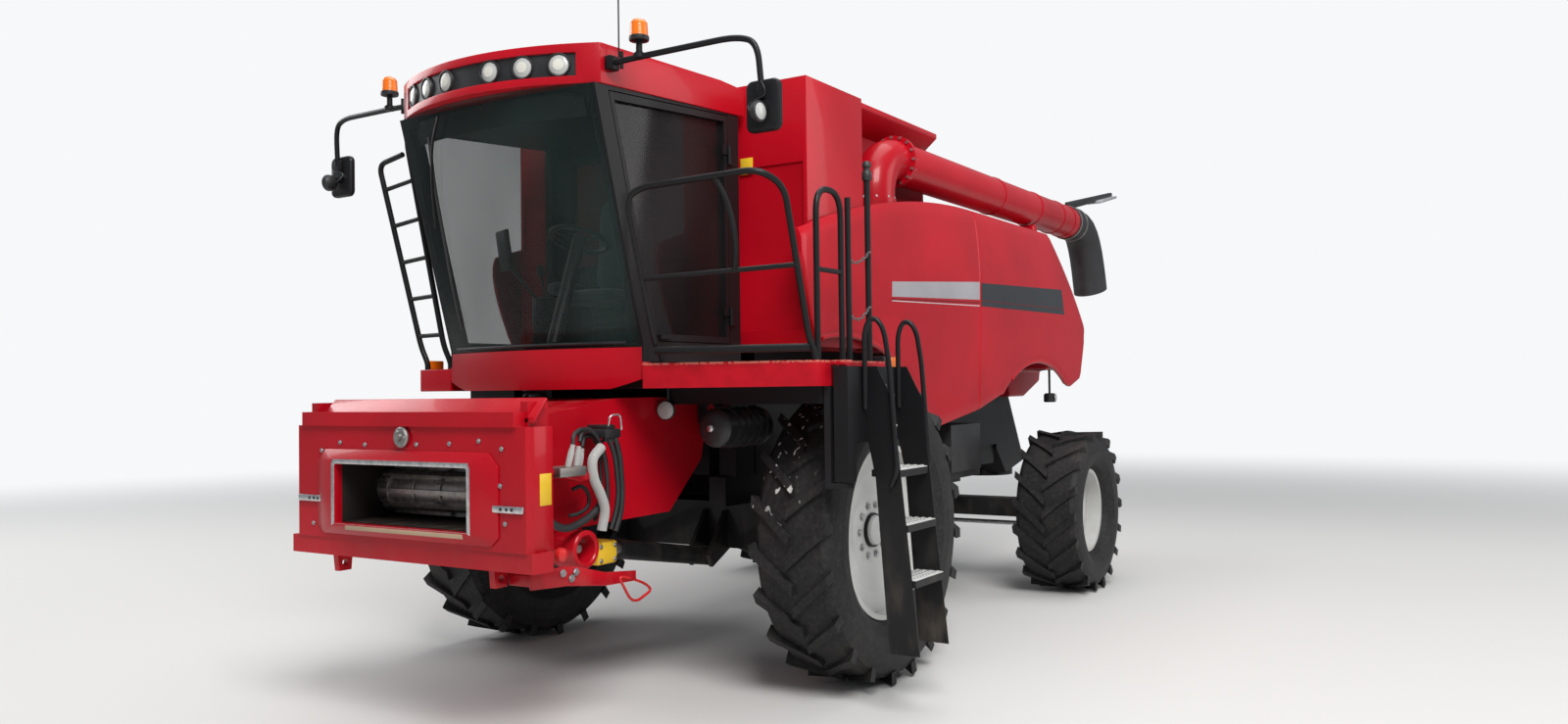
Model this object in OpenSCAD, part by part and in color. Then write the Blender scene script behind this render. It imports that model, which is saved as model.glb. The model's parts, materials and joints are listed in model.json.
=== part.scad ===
// Combine harvester with a raised feeder house, cab, grain tank and folded unloading tube.
// Millimetres. +X is forward, +Y is the machine's left and +Z is up.
// Places are measured from the ground below the front axle and moved to the part's own origin at the end.

/* [Front wheels] */
// Outside diameter of a front tyre over its lugs
front_tyre_d = 1910; // [1800:10:1960]
// Width of a front tyre
front_tyre_w = 540; // [460:10:600]
// Diameter of a front rim over its flanges
front_rim_d = 1122; // [1000:2:1200]
// Distance between the middles of the front tyres
front_track = 2940; // [2860:10:3000]
// Lugs on each half of a front tyre
front_lugs = 20; // [14:1:24]

/* [Rear wheels] */
// Outside diameter of a rear tyre over its lugs
rear_tyre_d = 1450; // [1300:10:1500]
// Width of a rear tyre
rear_tyre_w = 580; // [480:10:620]
// Diameter of a rear rim over its flanges
rear_rim_d = 752; // [680:2:800]
// Distance between the middles of the rear tyres
rear_track = 3134; // [3080:2:3240]
// Lugs on each half of a rear tyre
rear_lugs = 18; // [12:1:20]
// Distance from the front axle back to the rear axle
wheelbase = 3810; // [3760:10:3860]
// Length of the lever from a king pin to the tie rod
steer_arm = 180; // [150:5:200]

/* [Tyres] */
// Height of a tyre lug
lug_h = 46; // [30:1:60]
// Thickness of a tyre lug along the tread
lug_t = 62; // [40:1:80]
// Gap between a tyre and its rim
seat_gap = 0.3; // [0.2:0.1:1]

/* [Feeder house] */
// How far the faceplate's front is ahead of the front axle
face_x = 2450; // [2400:10:2520]
// Width of the faceplate
face_w = 1800; // [1600:10:1900]
// Height of the faceplate's lower edge above the ground
face_z0 = 1070; // [1040:5:1100]
// Height of the faceplate's upper edge above the ground
face_z1 = 1700; // [1660:5:1740]
// Width of the throat
throat_w = 1050; // [900:10:1100]
// Width of the feeder tunnel outside
feeder_w = 1180; // [1160:10:1200]
// Wall of the feeder tunnel
feeder_wall = 20; // [12:1:30]
// Radius of the pivot pins that carry the feeder house
pivot_r = 40; // [30:1:50]

/* [Cab] */
// Width of the cab outside its glass
cab_w = 1600; // [1500:10:1620]
// Thickness of a cab wall and of the whole door
cab_wall = 60; // [40:5:80]
// Lower edge of the glass above the ground
sill_z = 2140; // [2120:10:2200]
// How far the windscreen leans forward over its height
lean_x = 400; // [300:10:440]
// Radius of the roof's curved front
roof_r = 1480; // [1300:10:1700]

/* [Body] */
// Half the distance between the outer faces of the side shields at the waist
shield_y = 1340; // [1330:5:1400]
// Thickness of a side shield
shield_t = 30; // [20:1:40]
// Height of the waist crease above the ground
crease_z = 2370; // [2300:10:2450]
// Top of the grain tank's front wall above the ground
tank_top = 3880; // [3800:10:3950]
// Thickness of the grain tank's walls
tank_wall = 40; // [20:5:60]
// Width of the threshing body
body_w = 1520; // [1400:20:1560]

/* [Unloader] */
// Radius of the unloading tube
tube_r = 165; // [140:1:168]
// Height of the unloading tube's axis above the ground
tube_z = 3580; // [3560:5:3620]
// Radius of the elbow's bend
bend_r = 300; // [240:10:320]
// Distance of the turret from the middle of the machine
turret_y = 1110; // [1105:1:1112]

/* [Deck] */
// Top of the decks above the ground
deck_z = 2030; // [2000:5:2040]
// Distance from the front tyre's outer face to the deck's outer edge
deck_out = 60; // [40:5:80]
// Depth of the deck frame
deck_t = 145; // [100:5:150]
// Diameter of the rail tubes
rail_d = 36; // [28:1:42]

/* [Ladder] */
// Width of a step
step_w = 380; // [340:10:400]
// Distance between steps
step_gap = 310; // [280:5:320]
// Height of the top step above the ground
step_z = 1400; // [1360:5:1440]

/* [Hidden] */
$fn = 48;

red = [0.62, 0.03, 0.05];
black = [0.05, 0.05, 0.055];
silver = [0.80, 0.79, 0.75];
rubber = [0.03, 0.03, 0.03];
clear = [0.55, 0.65, 0.70, 0.4];
steel = [0.62, 0.62, 0.62];

// Small distances that keep pieces apart
touch = 0.3;
pin_gap = 0.08;
swing_gap = 6;
face_gap = 0.5;

// Front axle, hubs and rims
front_r = front_tyre_d / 2;
rear_r = rear_tyre_d / 2;
rim_sheet = 14;
flange_h = 22;
front_disc_y = 60;
rear_disc_y = 20;
hub_bore_r = 110;
rear_bore_r = 62;
front_hub_face = front_track / 2 + front_disc_y - rim_sheet;
rear_hub_face = rear_track / 2 + rear_disc_y - rim_sheet;
beam_h = 310;
beam_w = 360;
stub_r = 200;

// Chassis rails
rail_y0 = 570;
rail_y1 = 700;
frame_z0 = front_r + beam_h / 2;
frame_z1 = frame_z0 + 190;
frame_x0 = -4150;
frame_x1 = 450;
post_x0 = 200;
post_x1 = 420;
post_y1 = 760;
plate_z0 = deck_z - deck_t;
deck_x0 = 305;
deck_y = front_track / 2 + front_tyre_w / 2 + deck_out;
tow_x = -4740;
tow_z0 = 860;
tow_t = 40;
tow_pin_r = 16;

// Rear axle
axle_x = -wheelbase;
axle_z = rear_r;
king_y = 1215;
king_r = 35;
boss_r = 75;
knuckle_z0 = axle_z - 155;
knuckle_z1 = axle_z + 155;
rod_z = knuckle_z0 - 21;
swing_pin_z = axle_z + 175;

// Feeder house
feeder_pivot = [560, 0, 1740];
face_t = 60;
throat_z0 = 1160;
throat_z1 = 1490;
hook_z = 1776;
hook_out = 20;
lug_pin_r = 20;
lug_drop = 50;
lug_at = [face_x - 85, 620, face_z0 - 100 - lug_drop];
drum_x = 2100;
drum_z = 1325;
drum_r = 110;
slat_r = 142;
tunnel_z0 = 1100;
tunnel_z1 = 1690;
eye_at = [1750, 0, 1010];
foot_at = [330, 0, 760];
barrel_y = 430;
barrel_r = 60;
lift_rod_r = 35;
lift_pin_r = 28;
eye_clear = 14;
eye_w = 90;
foot_t = 30;
foot_reach = barrel_r + swing_gap + foot_t + 8;
foot_shape = [[150, front_r - 155], [360, front_r - 260], [400, front_r - 180], [200, front_r + 100],
    [150, front_r + 100]];

// Threshing body and what stands on it
body_z0 = frame_z1 + touch;
body_z1 = 2140;
body_x0 = -4100;
body_x1 = post_x0 - 20;
neck_x1 = 420;
shoe_z0 = 900;
hood_x0 = -5090;
hood_x1 = -2210;
hood_z0 = 1760;
hood_z1 = 3285;
hood_step = 2020;
narrow_y = 900;
tank_x0 = -2200;
tank_x1 = 300;
tank_split = -450;
tank_y = 900;
tank_z0 = body_z1 + touch;
tank_side_z = 3780;
flap_z = 3960;
seam_x = -2295;
seam_gap = 8;
shield_lean = 30;
shield_top_z = 3310;
box_y = shield_in(tank_top) - touch;

// Cab
cab_x0 = 400;
cab_x1 = 1400;
cab_z0 = 2040;
cab_y = cab_w / 2;
glass_top = 3580;
roof_rear_z = 3660;
roof_x0 = 340;
roof_x1 = 2000;
glass_t = 8;
screen_r = 2500;
post_w = 110;
door_x0 = 520;
door_margin = 26;
door_edge = 40;
hinge_at = [door_x0 + 3, cab_y + 14];
hinge_zs = [2280, 3320];

// Unloader
turret_x = -900;
turret_r = 150;
turret_top = 3215;
tube_x0 = -5600;
spout_x0 = -6660;
lamp_x0 = -6900;

// Ladder
ladder_x0 = 330;
ladder_x1 = ladder_x0 + step_w + 16;
post_at = [940, deck_y + 68];
post_r = 30;
sleeve = 90;
step_y = deck_y + 295;
step_out = 45;

// Ends of the whole machine, which place its origin
mirror_y = 1680;
beacon_z = 3805;
front_end = face_x + hook_out;
left_end = deck_y + 405;
right_end = -(rear_track + rear_tyre_w) / 2;
mid_x = (front_end + lamp_x0) / 2;
mid_y = (left_end + right_end) / 2;

// Inner face of a side shield at a height: it leans in above the waist
function shield_in(z) = shield_y - shield_t
    - shield_lean * max(0, z - crease_z) / (shield_top_z - crease_z);
// Forward lean of the windscreen at a height
function lean_at(z) = lean_x * (z - sill_z) / (glass_top - sill_z);

module machine() {
    translate([-mid_x, -mid_y, 0]) children();
}

// Both sides of the machine
module pair() {
    children();
    mirror([0, 1, 0]) children();
}

// Block between two corners
module block(x0, x1, y0, y1, z0, z1) {
    translate([x0, y0, z0]) cube([x1 - x0, y1 - y0, z1 - z0]);
}

// Side outline of X and Z points, thick from y0 to y1
module side_plate(points, y0, y1) {
    translate([0, y1, 0]) rotate([90, 0, 0]) linear_extrude(y1 - y0) polygon(points);
}

// Front outline of Y and Z points, thick from x0 to x1
module front_plate(points, x0, x1) {
    translate([x0, 0, 0]) rotate([90, 0, 90]) linear_extrude(x1 - x0) polygon(points);
}

// Round bar between two points
module rod(a, b, d) {
    v = b - a;
    l = norm(v);
    translate(a) rotate([0, acos(v[2] / l), atan2(v[1], v[0])]) cylinder(h = l, d = d);
}

// Bent tube through points, with a ball a little fuller than the tube at each bend
module bent_tube(points, d) {
    last = len(points) - 1;
    for (i = [0 : last - 1]) rod(points[i], points[i + 1], d);
    for (i = [1 : last - 1]) translate(points[i]) sphere(d = d * 1.06, $fn = 24);
}

// Ring or disc about the Y axis from y0 to y1
module wheel_disc(r, y0, y1) {
    translate([0, y1, 0]) rotate([90, 0, 0]) cylinder(h = y1 - y0, r = r);
}

// Half of a tyre's cross section as points of radius and side, straight up the rim's flange at first
tyre_shape = [[0, 0.60], [0.12, 0.80], [0.32, 0.97], [0.52, 1], [0.75, 0.97], [0.92, 0.91], [1, 0.78]];
function tyre_half(seat, base, w, s) = concat([[seat, s * 0.30 * w]], [for (p = tyre_shape)
    [seat + flange_h + p[0] * (base - seat - flange_h), s * p[1] * w / 2]]);

// One lug: a bent bar from the middle of the tread back to the shoulder
module lug(w, r) {
    run = w * 0.42;
    mid = [[run / 2, -14], [0, w * 0.22], [-run / 2, w * 0.485]];
    top = sqrt(r * r - pow(run / 2 + lug_t / 2, 2));
    points = concat([for (p = mid) [p[0] + lug_t / 2, p[1]]],
        [for (i = [2 : -1 : 0]) [mid[i][0] - lug_t / 2, mid[i][1]]]);
    translate([0, 0, r - 2 * lug_h]) linear_extrude(top - r + 2 * lug_h) polygon(points);
}

module tyre(d, w, rim_d, lugs) {
    seat = rim_d / 2 - flange_h + seat_gap;
    base = d / 2 - lug_h;
    rotate([90, 0, 0]) rotate_extrude($fn = 96)
        polygon(concat(tyre_half(seat, base, w, -1), [[base + 10, 0]],
            [for (i = [len(tyre_shape) : -1 : 0]) tyre_half(seat, base, w, 1)[i]]));
    for (i = [0 : lugs - 1]) {
        rotate([0, i * 360 / lugs, 0]) lug(w, d / 2);
        rotate([0, (i + 0.5) * 360 / lugs, 0]) mirror([0, 1, 0]) lug(w, d / 2);
    }
}

// Dished rim; disc_y is the disc's outer face from the tyre's middle
module rim(w, rim_d, disc_y, bore_r) {
    r = rim_d / 2;
    lip = 0.30 * w + rim_sheet + touch;
    seat = r - flange_h;
    inner = seat - rim_sheet;
    out = disc_y + 40;
    rotate([-90, 0, 0]) rotate_extrude($fn = 96) polygon([
        [bore_r, disc_y - rim_sheet], [bore_r, disc_y], [r * 0.45, disc_y], [r * 0.7, out],
        [inner, out], [inner + 4, lip], [r, lip], [r, lip - rim_sheet], [seat, lip - rim_sheet],
        [seat, -lip + rim_sheet], [r, -lip + rim_sheet], [r, -lip], [inner + 4, -lip],
        [inner, out - rim_sheet], [r * 0.7, out - rim_sheet], [r * 0.45, disc_y - rim_sheet]]);
}

module wheel_place(x, y, z, side) {
    translate([x, side * y, z]) if (side > 0) children(); else mirror([0, 1, 0]) children();
}

module front_tyre(side) {
    color(rubber) wheel_place(0, front_track / 2, front_r, side)
        tyre(front_tyre_d, front_tyre_w, front_rim_d, front_lugs);
}

module front_rim(side) {
    color(silver) wheel_place(0, front_track / 2, front_r, side)
        rim(front_tyre_w, front_rim_d, front_disc_y, hub_bore_r + pin_gap);
}

module rear_tyre(side) {
    color(rubber) wheel_place(axle_x, rear_track / 2, axle_z, side)
        tyre(rear_tyre_d, rear_tyre_w, rear_rim_d, rear_lugs);
}

module rear_rim(side) {
    color(silver) wheel_place(axle_x, rear_track / 2, axle_z, side)
        rim(rear_tyre_w, rear_rim_d, rear_disc_y, rear_bore_r + pin_gap);
}

// Front axle beam, stubs and pilots
module front_axle() {
    color(black) {
        block(-beam_w / 2, beam_w / 2, -1000, 1000, front_r - beam_h / 2, frame_z0 - touch);
        pair() translate([0, 0, front_r]) {
            wheel_disc(stub_r, 990, front_hub_face - face_gap);
            wheel_disc(hub_bore_r, 1200, front_hub_face + rim_sheet + 20);
        }
        for (y = [barrel_y + barrel_r + swing_gap, barrel_y - barrel_r - swing_gap - foot_t])
            pair() side_plate(foot_shape, y, y + foot_t);
        pair() translate([foot_at[0], 0, foot_at[2]])
            wheel_disc(lift_pin_r, barrel_y - foot_reach, barrel_y + foot_reach);
    }
}

// Longitudinal rails, posts, feeder brackets, cab platform and deck outriggers
module main_frame() {
    bracket_y0 = feeder_w / 2 + 20;
    color(black) {
        pair() {
            block(frame_x0, frame_x1, rail_y0, rail_y1, frame_z0, frame_z1);
            block(post_x0, post_x1, rail_y0 + 60, post_y1, frame_z1 - 1, plate_z0);
            difference() {
                side_plate([[post_x1 - 20, 1600], [feeder_pivot[0] + 90, 1660],
                    [feeder_pivot[0] + 90, plate_z0], [post_x1 - 20, plate_z0]],
                    bracket_y0 + 20, bracket_y0 + 60);
                translate([feeder_pivot[0], 0, feeder_pivot[2]])
                    wheel_disc(pivot_r + pin_gap, bracket_y0, bracket_y0 + 80);
            }
        }
        block(post_x0, cab_x1 - 60, -post_y1, post_y1, plate_z0 - 1, cab_z0 - touch);
        block(axle_x - 90, axle_x + 90, -rail_y0 - 1, rail_y0 + 1, frame_z0, frame_z1 - 60);
        for (x = [axle_x - 115, axle_x + 65]) difference() {
            block(x, x + 50, -110, 110, swing_pin_z - 60, frame_z0 + 1);
            translate([x - 1, 0, swing_pin_z]) rotate([0, 90, 0]) cylinder(h = 60, r = 30 + pin_gap);
        }
        block(frame_x0, frame_x0 + 80, -rail_y0 - 1, rail_y0 + 1, frame_z0, frame_z1 - 60);
        block(frame_x0, frame_x0 + 40, -80, 80, tow_z0, frame_z0 + 1);
        difference() {
            block(tow_x - 60, frame_x0 + 1, -60, 60, tow_z0, tow_z0 + tow_t);
            translate([tow_x, 0, tow_z0 - 1]) cylinder(h = tow_t + 2, r = tow_pin_r);
        }
        block(900, 980, post_y1, deck_y - 50, plate_z0 - 100, plate_z0 - touch);
        block(900, 980, post_y1 - 100, post_y1 + 1, plate_z0 - 100, plate_z0);
        block(900, 980, -1080, -post_y1 + 1, plate_z0 - 100, plate_z0 - touch);
        block(900, 980, -post_y1 - 1, -post_y1 + 100, plate_z0 - 100, plate_z0);
    }
}

// Rear axle beam with king pins, its swing pin and the steering cylinder's barrel
module rear_axle() {
    color(black) {
        block(axle_x - 90, axle_x + 90, -king_y + 60, king_y - 60, axle_z - 85, axle_z + 85);
        pair() translate([axle_x, king_y, 0]) {
            translate([0, 0, axle_z - 100]) cylinder(h = 200, r = boss_r);
            translate([0, 0, knuckle_z0 + 10]) cylinder(h = 290, r = king_r);
        }
        block(axle_x - 60, axle_x + 60, -70, 70, axle_z + 80, swing_pin_z + 50);
        translate([axle_x - 120, 0, swing_pin_z]) rotate([0, 90, 0]) cylinder(h = 240, r = 30);
    }
    color(steel) difference() {
        union() {
            translate([axle_x - steer_arm, 0, rod_z]) wheel_disc(48, -260, 260);
            block(axle_x - steer_arm - 30, axle_x - 80, -120, 120, rod_z + 30, axle_z - 40);
        }
        translate([axle_x - steer_arm, 0, rod_z]) wheel_disc(20 + pin_gap, -261, 261);
    }
}

// Steering knuckle: two cheeks about the king pin, web, hub and steering arm
module knuckle() {
    color(black) difference() {
        union() {
            for (z = [knuckle_z0, axle_z + 101]) translate([0, 0, z]) {
                translate([axle_x, king_y, 0]) cylinder(h = 54, r = boss_r);
                block(axle_x - 60, axle_x + 60, king_y, king_y + 160, 0, 54);
            }
            block(axle_x - 60, axle_x + 60, king_y + boss_r + 8, king_y + 160, knuckle_z0, knuckle_z1);
            translate([axle_x, 0, axle_z]) {
                wheel_disc(130, king_y + boss_r + 8, rear_hub_face - face_gap);
                wheel_disc(rear_bore_r, rear_hub_face - 10, rear_hub_face + rim_sheet + 30);
            }
            block(axle_x - steer_arm, axle_x, king_y - 45, king_y + 45, knuckle_z0, knuckle_z0 + 40);
            translate([axle_x - steer_arm, king_y, knuckle_z0]) cylinder(h = 40, r = 55);
        }
        translate([axle_x, king_y, knuckle_z0 - 1]) cylinder(h = 320, r = king_r + pin_gap);
    }
}

module left_knuckle() {
    knuckle();
}

module right_knuckle() {
    mirror([0, 1, 0]) knuckle();
}

// Rod through the steering cylinder, with an eye below each steering arm
module tie_rod() {
    color(steel) translate([axle_x - steer_arm, 0, rod_z]) {
        wheel_disc(20, -king_y, king_y);
        pair() translate([0, king_y, -20]) cylinder(h = 40.5, r = 34);
    }
}

// Closed threshing body, its narrow neck behind the feeder and the cleaning shoe below
module separator_body() {
    color(black) {
        block(body_x0, body_x1, -body_w / 2, body_w / 2, body_z0, body_z1);
        side_plate([[body_x1 - 1, body_z0 + 10], [neck_x1, body_z0 + 10], [neck_x1, 1560],
            [body_x1 - 1, plate_z0 - 20]], -550, 550);
        side_plate([[-300, body_z0 + 1], [-420, shoe_z0 + 120], [-1500, shoe_z0], [-3100, shoe_z0 + 60],
            [-3300, body_z0 + 1]], -rail_y0 + 5, rail_y0 - 5);
    }
}

// Engine as one plain block
module engine_block() {
    color(steel) block(-3650, -2550, -450, 450, body_z1 + touch, 3050);
}

// Cover over the engine: front, rear and side walls with a grille cut in its top, and the tube's saddle
module engine_hood() {
    half = shield_in(hood_z1) - touch;
    color(red) difference() {
        block(body_x0, hood_x1, -half, half, body_z1 + touch, hood_z1);
        block(body_x0 + 40, hood_x1 - 40, -half + 40, half - 40, body_z1 - 1, hood_z1 - 40);
        for (i = [0 : 9]) block(-3950 + i * 100, -3900 + i * 100, -600, 600, hood_z1 - 41, hood_z1 + 1);
    }
    color(black) block(-4080, -3980, turret_y - 110, turret_y + 110, hood_z1, tube_z - tube_r - swing_gap);
}

// Rear body between the shields, sloping down to the back
module straw_hood() {
    half = shield_in(hood_z1) - touch;
    x1 = body_x0 - touch;
    color(red) {
        side_plate([[x1, hood_step], [x1, hood_z1], [-4170, hood_z1], [hood_x0, 2480], [hood_x0, 2350],
            [-4985, hood_step]], -half, half);
        side_plate([[x1, hood_z0], [x1, hood_step + 1], [-4985, hood_step + 1], [-4950, 1910],
            [-4500, hood_z0]], -narrow_y, narrow_y);
    }
}

// Straw spreader below the rear body
module straw_spreader() {
    color(black) {
        side_plate([[-4160, hood_z0 - touch], [-4160, 1250], [-4400, 1000], [-4900, 1100],
            [-4500, hood_z0 - touch]], -730, 730);
        pair() translate([-4650, 380, 960]) cylinder(h = 60, r = 300);
        pair() translate([-4650, 380, 1000]) cylinder(h = 80, r = 50);
    }
}

// Tank with a sloping floor, open above, with a closed box on each side behind the cab
module grain_tank() {
    stay_y = shield_in(2960) - touch;
    half = tank_y - tank_wall;
    color(red) difference() {
        union() {
            block(tank_split, tank_x1, -box_y, box_y, tank_z0, tank_top);
            block(tank_x0, tank_split + 1, -tank_y, tank_y, tank_z0, tank_side_z);
            for (x = [-2150, -1300]) pair() block(x, x + 60, tank_y - 1, stay_y, 2900, 2960);
            pair() block(tank_split - 60, tank_split + 1, 1000, stay_y, 2900, 2960);
        }
        front_plate([[-250, 2300], [250, 2300], [half, 3000], [half, tank_top + 1], [-half, tank_top + 1],
            [-half, 3000]], tank_x0 + tank_wall, tank_x1 - tank_wall);
        pair() block(tank_x1 - 12, tank_x1 + 1, 710, 1230, 2250, 3330);
    }
}

// Raised flaps round the open tank
module tank_flaps() {
    foot = tank_side_z + touch;
    flap = [[tank_y - tank_wall, foot], [tank_y, foot], [tank_y + 165, flap_z - 40],
        [tank_y + 165, flap_z], [tank_y + 125, flap_z]];
    color(red) {
        pair() front_plate(flap, tank_x0 + 70, tank_split - 10);
        side_plate([for (p = flap) [-p[0] + tank_y + tank_x0, p[1]]], -tank_y + 60, tank_y - 60);
    }
}

// Outline of a whole side shield: crest, rear edge, wheel arches
module shield_outline(x0, x1) {
    crest_r = 14000;
    crest_x = -3300;
    crest_top = 3335;
    intersection() {
        polygon([[460, 3400], [460, 2850], [330, 2260], [-250, 2150], [-770, 1870], [-1080, 1690],
            [-1490, 1560], [-2330, 1660], [-2820, 1750], [-4440, 1700], [-4960, 1920], [-5100, 2355],
            [-5105, 2480], [-4180, 3295], [-4180, 3400]]);
        translate([crest_x, crest_top - crest_r]) circle(r = crest_r, $fn = 360);
        translate([x0, 0]) square([x1 - x0, 5000]);
    }
}

// Side shield from x0 to x1, bent at the waist and open over the rear wheel
module shield(x0, x1) {
    color(red) difference() {
        intersection() {
            translate([0, shield_y + 50, 0]) rotate([90, 0, 0]) linear_extrude(300) shield_outline(x0, x1);
            front_plate([[shield_y - 20, 1500], [shield_y, crease_z], [shield_in(3500) + shield_t, 3500],
                [shield_in(3500), 3500], [shield_y - shield_t, crease_z], [shield_y - 20 - shield_t, 1500]],
                x0, x1);
        }
        translate([axle_x + 30, 0, 730]) wheel_disc(1320, shield_y - 300, shield_y + 100);
    }
}

module left_front_shield() {
    shield(seam_x + seam_gap / 2, 500);
}

module left_rear_shield() {
    shield(-5200, seam_x - seam_gap / 2);
}

module right_front_shield() {
    mirror([0, 1, 0]) shield(seam_x + seam_gap / 2, 500);
}

module right_rear_shield() {
    mirror([0, 1, 0]) shield(-5200, seam_x - seam_gap / 2);
}

// Side outline of the cab, drawn in by a margin
module cab_outline(m) {
    polygon([[cab_x0 + m, cab_z0 + m], [cab_x1 - m, cab_z0 + m], [cab_x1 - m, sill_z],
        [cab_x1 + lean_x - m, glass_top - m], [cab_x0 + m, roof_rear_z - m]]);
}

// Opening in a cab side: sill line, windscreen post and rear post
module side_opening(x0, m, front = 0) {
    edge = cab_x1 - post_w - front;
    polygon([[x0, sill_z + m], [edge + lean_at(sill_z + m), sill_z + m],
        [edge + lean_at(glass_top - m), glass_top - m], [x0, roof_rear_z - m]]);
}

// Hollow cab: floor, posts and walls, with windows and doorway cut
module cab_frame() {
    color(black) difference() {
        translate([0, cab_y, 0]) rotate([90, 0, 0]) linear_extrude(cab_w) cab_outline(0);
        translate([0, cab_y - cab_wall, 0]) rotate([90, 0, 0]) linear_extrude(cab_w - 2 * cab_wall)
            cab_outline(cab_wall);
        translate([0, cab_y + 1, 0]) rotate([90, 0, 0]) linear_extrude(cab_wall + 2)
            side_opening(door_x0, 20);
        translate([0, -cab_y + cab_wall + 1, 0]) rotate([90, 0, 0]) linear_extrude(cab_wall + 2)
            side_opening(door_x0, 60);
        block(cab_x1 - cab_wall - 20, cab_x1 + lean_x + 10, -cab_y + cab_wall, cab_y - cab_wall,
            sill_z + 10, glass_top - cab_wall);
        block(cab_x0 - 1, cab_x0 + cab_wall + 1, -600, 600, 2750, 3480);
    }
    color(black) for (z = hinge_zs) {
        translate([hinge_at[0], hinge_at[1], z]) cylinder(h = 60, r = 12);
        translate([hinge_at[0], hinge_at[1], z]) cylinder(h = 120, r = 6);
        block(hinge_at[0] - 60, hinge_at[0], cab_y - 1, cab_y + 8, z, z + 60);
    }
}

// Windscreen, right side window and rear window, each on the frame's outer face
module cab_glass() {
    lean = atan(lean_x / (glass_top - sill_z));
    x0 = cab_x1 + 0.5;
    color(clear) {
        intersection() {
            translate([cab_x1 + 130, 0, sill_z]) rotate([0, lean, 0]) translate([-screen_r, 0, -200])
                difference() {
                    cylinder(h = 2200, r = screen_r, $fn = 480);
                    translate([0, 0, -1]) cylinder(h = 2202, r = screen_r - glass_t, $fn = 480);
                }
            side_plate([[x0, sill_z - 10], [cab_x1 + 500, sill_z - 10], [cab_x1 + lean_x + 500, glass_top],
                [x0 + lean_x, glass_top], [x0, sill_z]], -cab_y + 20, cab_y - 20);
        }
        translate([0, -cab_y + cab_wall / 2, 0]) rotate([90, 0, 0]) linear_extrude(glass_t)
            side_opening(door_x0 + touch, 60 + touch);
        block(cab_x0 + 20, cab_x0 + 28, -600 + touch, 600 - touch, 2750 + touch, 3480 - touch);
    }
}

// Plan of the roof with its bowed front, set back by m
module roof_plan(m) {
    intersection() {
        translate([roof_x0, -cab_y - 10]) square([roof_x1 - roof_x0, cab_w + 20]);
        translate([roof_x1 - roof_r, 0]) circle(r = roof_r - m, $fn = 120);
    }
}

// Roof with a band set into its front for the lamps
module cab_roof() {
    band_z0 = glass_top + 45;
    color(red) difference() {
        intersection() {
            translate([0, 0, glass_top - 100]) linear_extrude(500) roof_plan(0);
            side_plate([[roof_x1 + 10, glass_top + touch], [cab_x1 + lean_x, glass_top + touch],
                [cab_x0, roof_rear_z + touch], [roof_x0, roof_rear_z + touch + 5], [roof_x0, 3840],
                [600, 3850], [roof_x1 + 10, 3800]], -cab_y - 10, cab_y + 10);
        }
        translate([0, 0, band_z0]) linear_extrude(130) difference() {
            translate([1300, -690]) square([800, 1380]);
            translate([roof_x1 - roof_r, 0]) circle(r = roof_r - 70, $fn = 120);
        }
    }
}

// Black band in the roof's front
module lamp_band() {
    band_z0 = glass_top + 45;
    color(black) translate([0, 0, band_z0 + touch]) linear_extrude(130 - 2 * touch) difference() {
        intersection() {
            translate([1300, -690 + touch]) square([800, 1380 - 2 * touch]);
            translate([roof_x1 - roof_r, 0]) circle(r = roof_r - 15, $fn = 120);
        }
        translate([roof_x1 - roof_r, 0]) circle(r = roof_r - 70 + touch, $fn = 120);
    }
}

// Six roof lamps on the band, the work lamp below the cab and the lamp under the rear body
module clear_lamps() {
    color(silver) {
        for (a = [-24, -18, -11, 11, 18, 24])
            translate([roof_x1 - roof_r, 0, glass_top + 110]) rotate([0, 90, a])
                translate([0, 0, roof_r - 15 + touch]) cylinder(h = 18, r = 52);
        translate([1000, 660, 1750]) rotate([0, 90, 0]) cylinder(h = 40, r = 55);
        block(994, 1001, 630, 690, 1750, plate_z0 - 1 - touch);
        pair() translate([-4420, 1190, hood_step - touch]) rotate([180, 0, 0]) {
            cylinder(h = 300, r = 14);
            translate([0, 0, 230]) cylinder(h = 90, r = 60);
        }
    }
}

// Beacons over the mirror arms, turn lamps on the decks and tail lamps
module amber_lamps() {
    color([0.95, 0.45, 0.02]) {
        pair() translate([1690, 1030, beacon_z]) cylinder(h = 110, r = 52);
        block(150, deck_x0 - touch, deck_y - 60, deck_y - 10, deck_z - 40, deck_z + 20);
        block(1240, 1360, -1090, -1050, deck_z + touch, deck_z + 60);
        pair() block(hood_x0 - 20, hood_x0 - touch, 1000, 1160, 2370, 2470);
    }
}

// Red apron below the windscreen
module cab_nose() {
    color(red) {
        intersection() {
            translate([0, 0, plate_z0]) linear_extrude(cab_z0 + 85 - plate_z0) intersection() {
                translate([cab_x1 + touch, -cab_y]) square([300, cab_w]);
                translate([cab_x1 + 140 - 2300, 0]) circle(r = 2300, $fn = 120);
            }
            side_plate([[cab_x1, 1940], [cab_x1 + 60, plate_z0], [cab_x1 + 300, plate_z0],
                [cab_x1 + 300, 2200], [cab_x1, 2200]], -cab_y, cab_y);
        }
        block(cab_x1 - 60 + touch, cab_x1 + 1, -cab_y, cab_y, 1940, cab_z0 - touch);
    }
}

module operator_seat() {
    color(black) {
        block(600, 780, -160, 160, cab_z0 + cab_wall + touch, 2421);
        block(560, 1050, -240, 240, 2420, 2540);
        side_plate([[560, 2539], [690, 2539], [600, 3180], [500, 3180]], -230, 230);
        block(690, 1020, -330, -239, 2500, 2600);
    }
}

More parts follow.
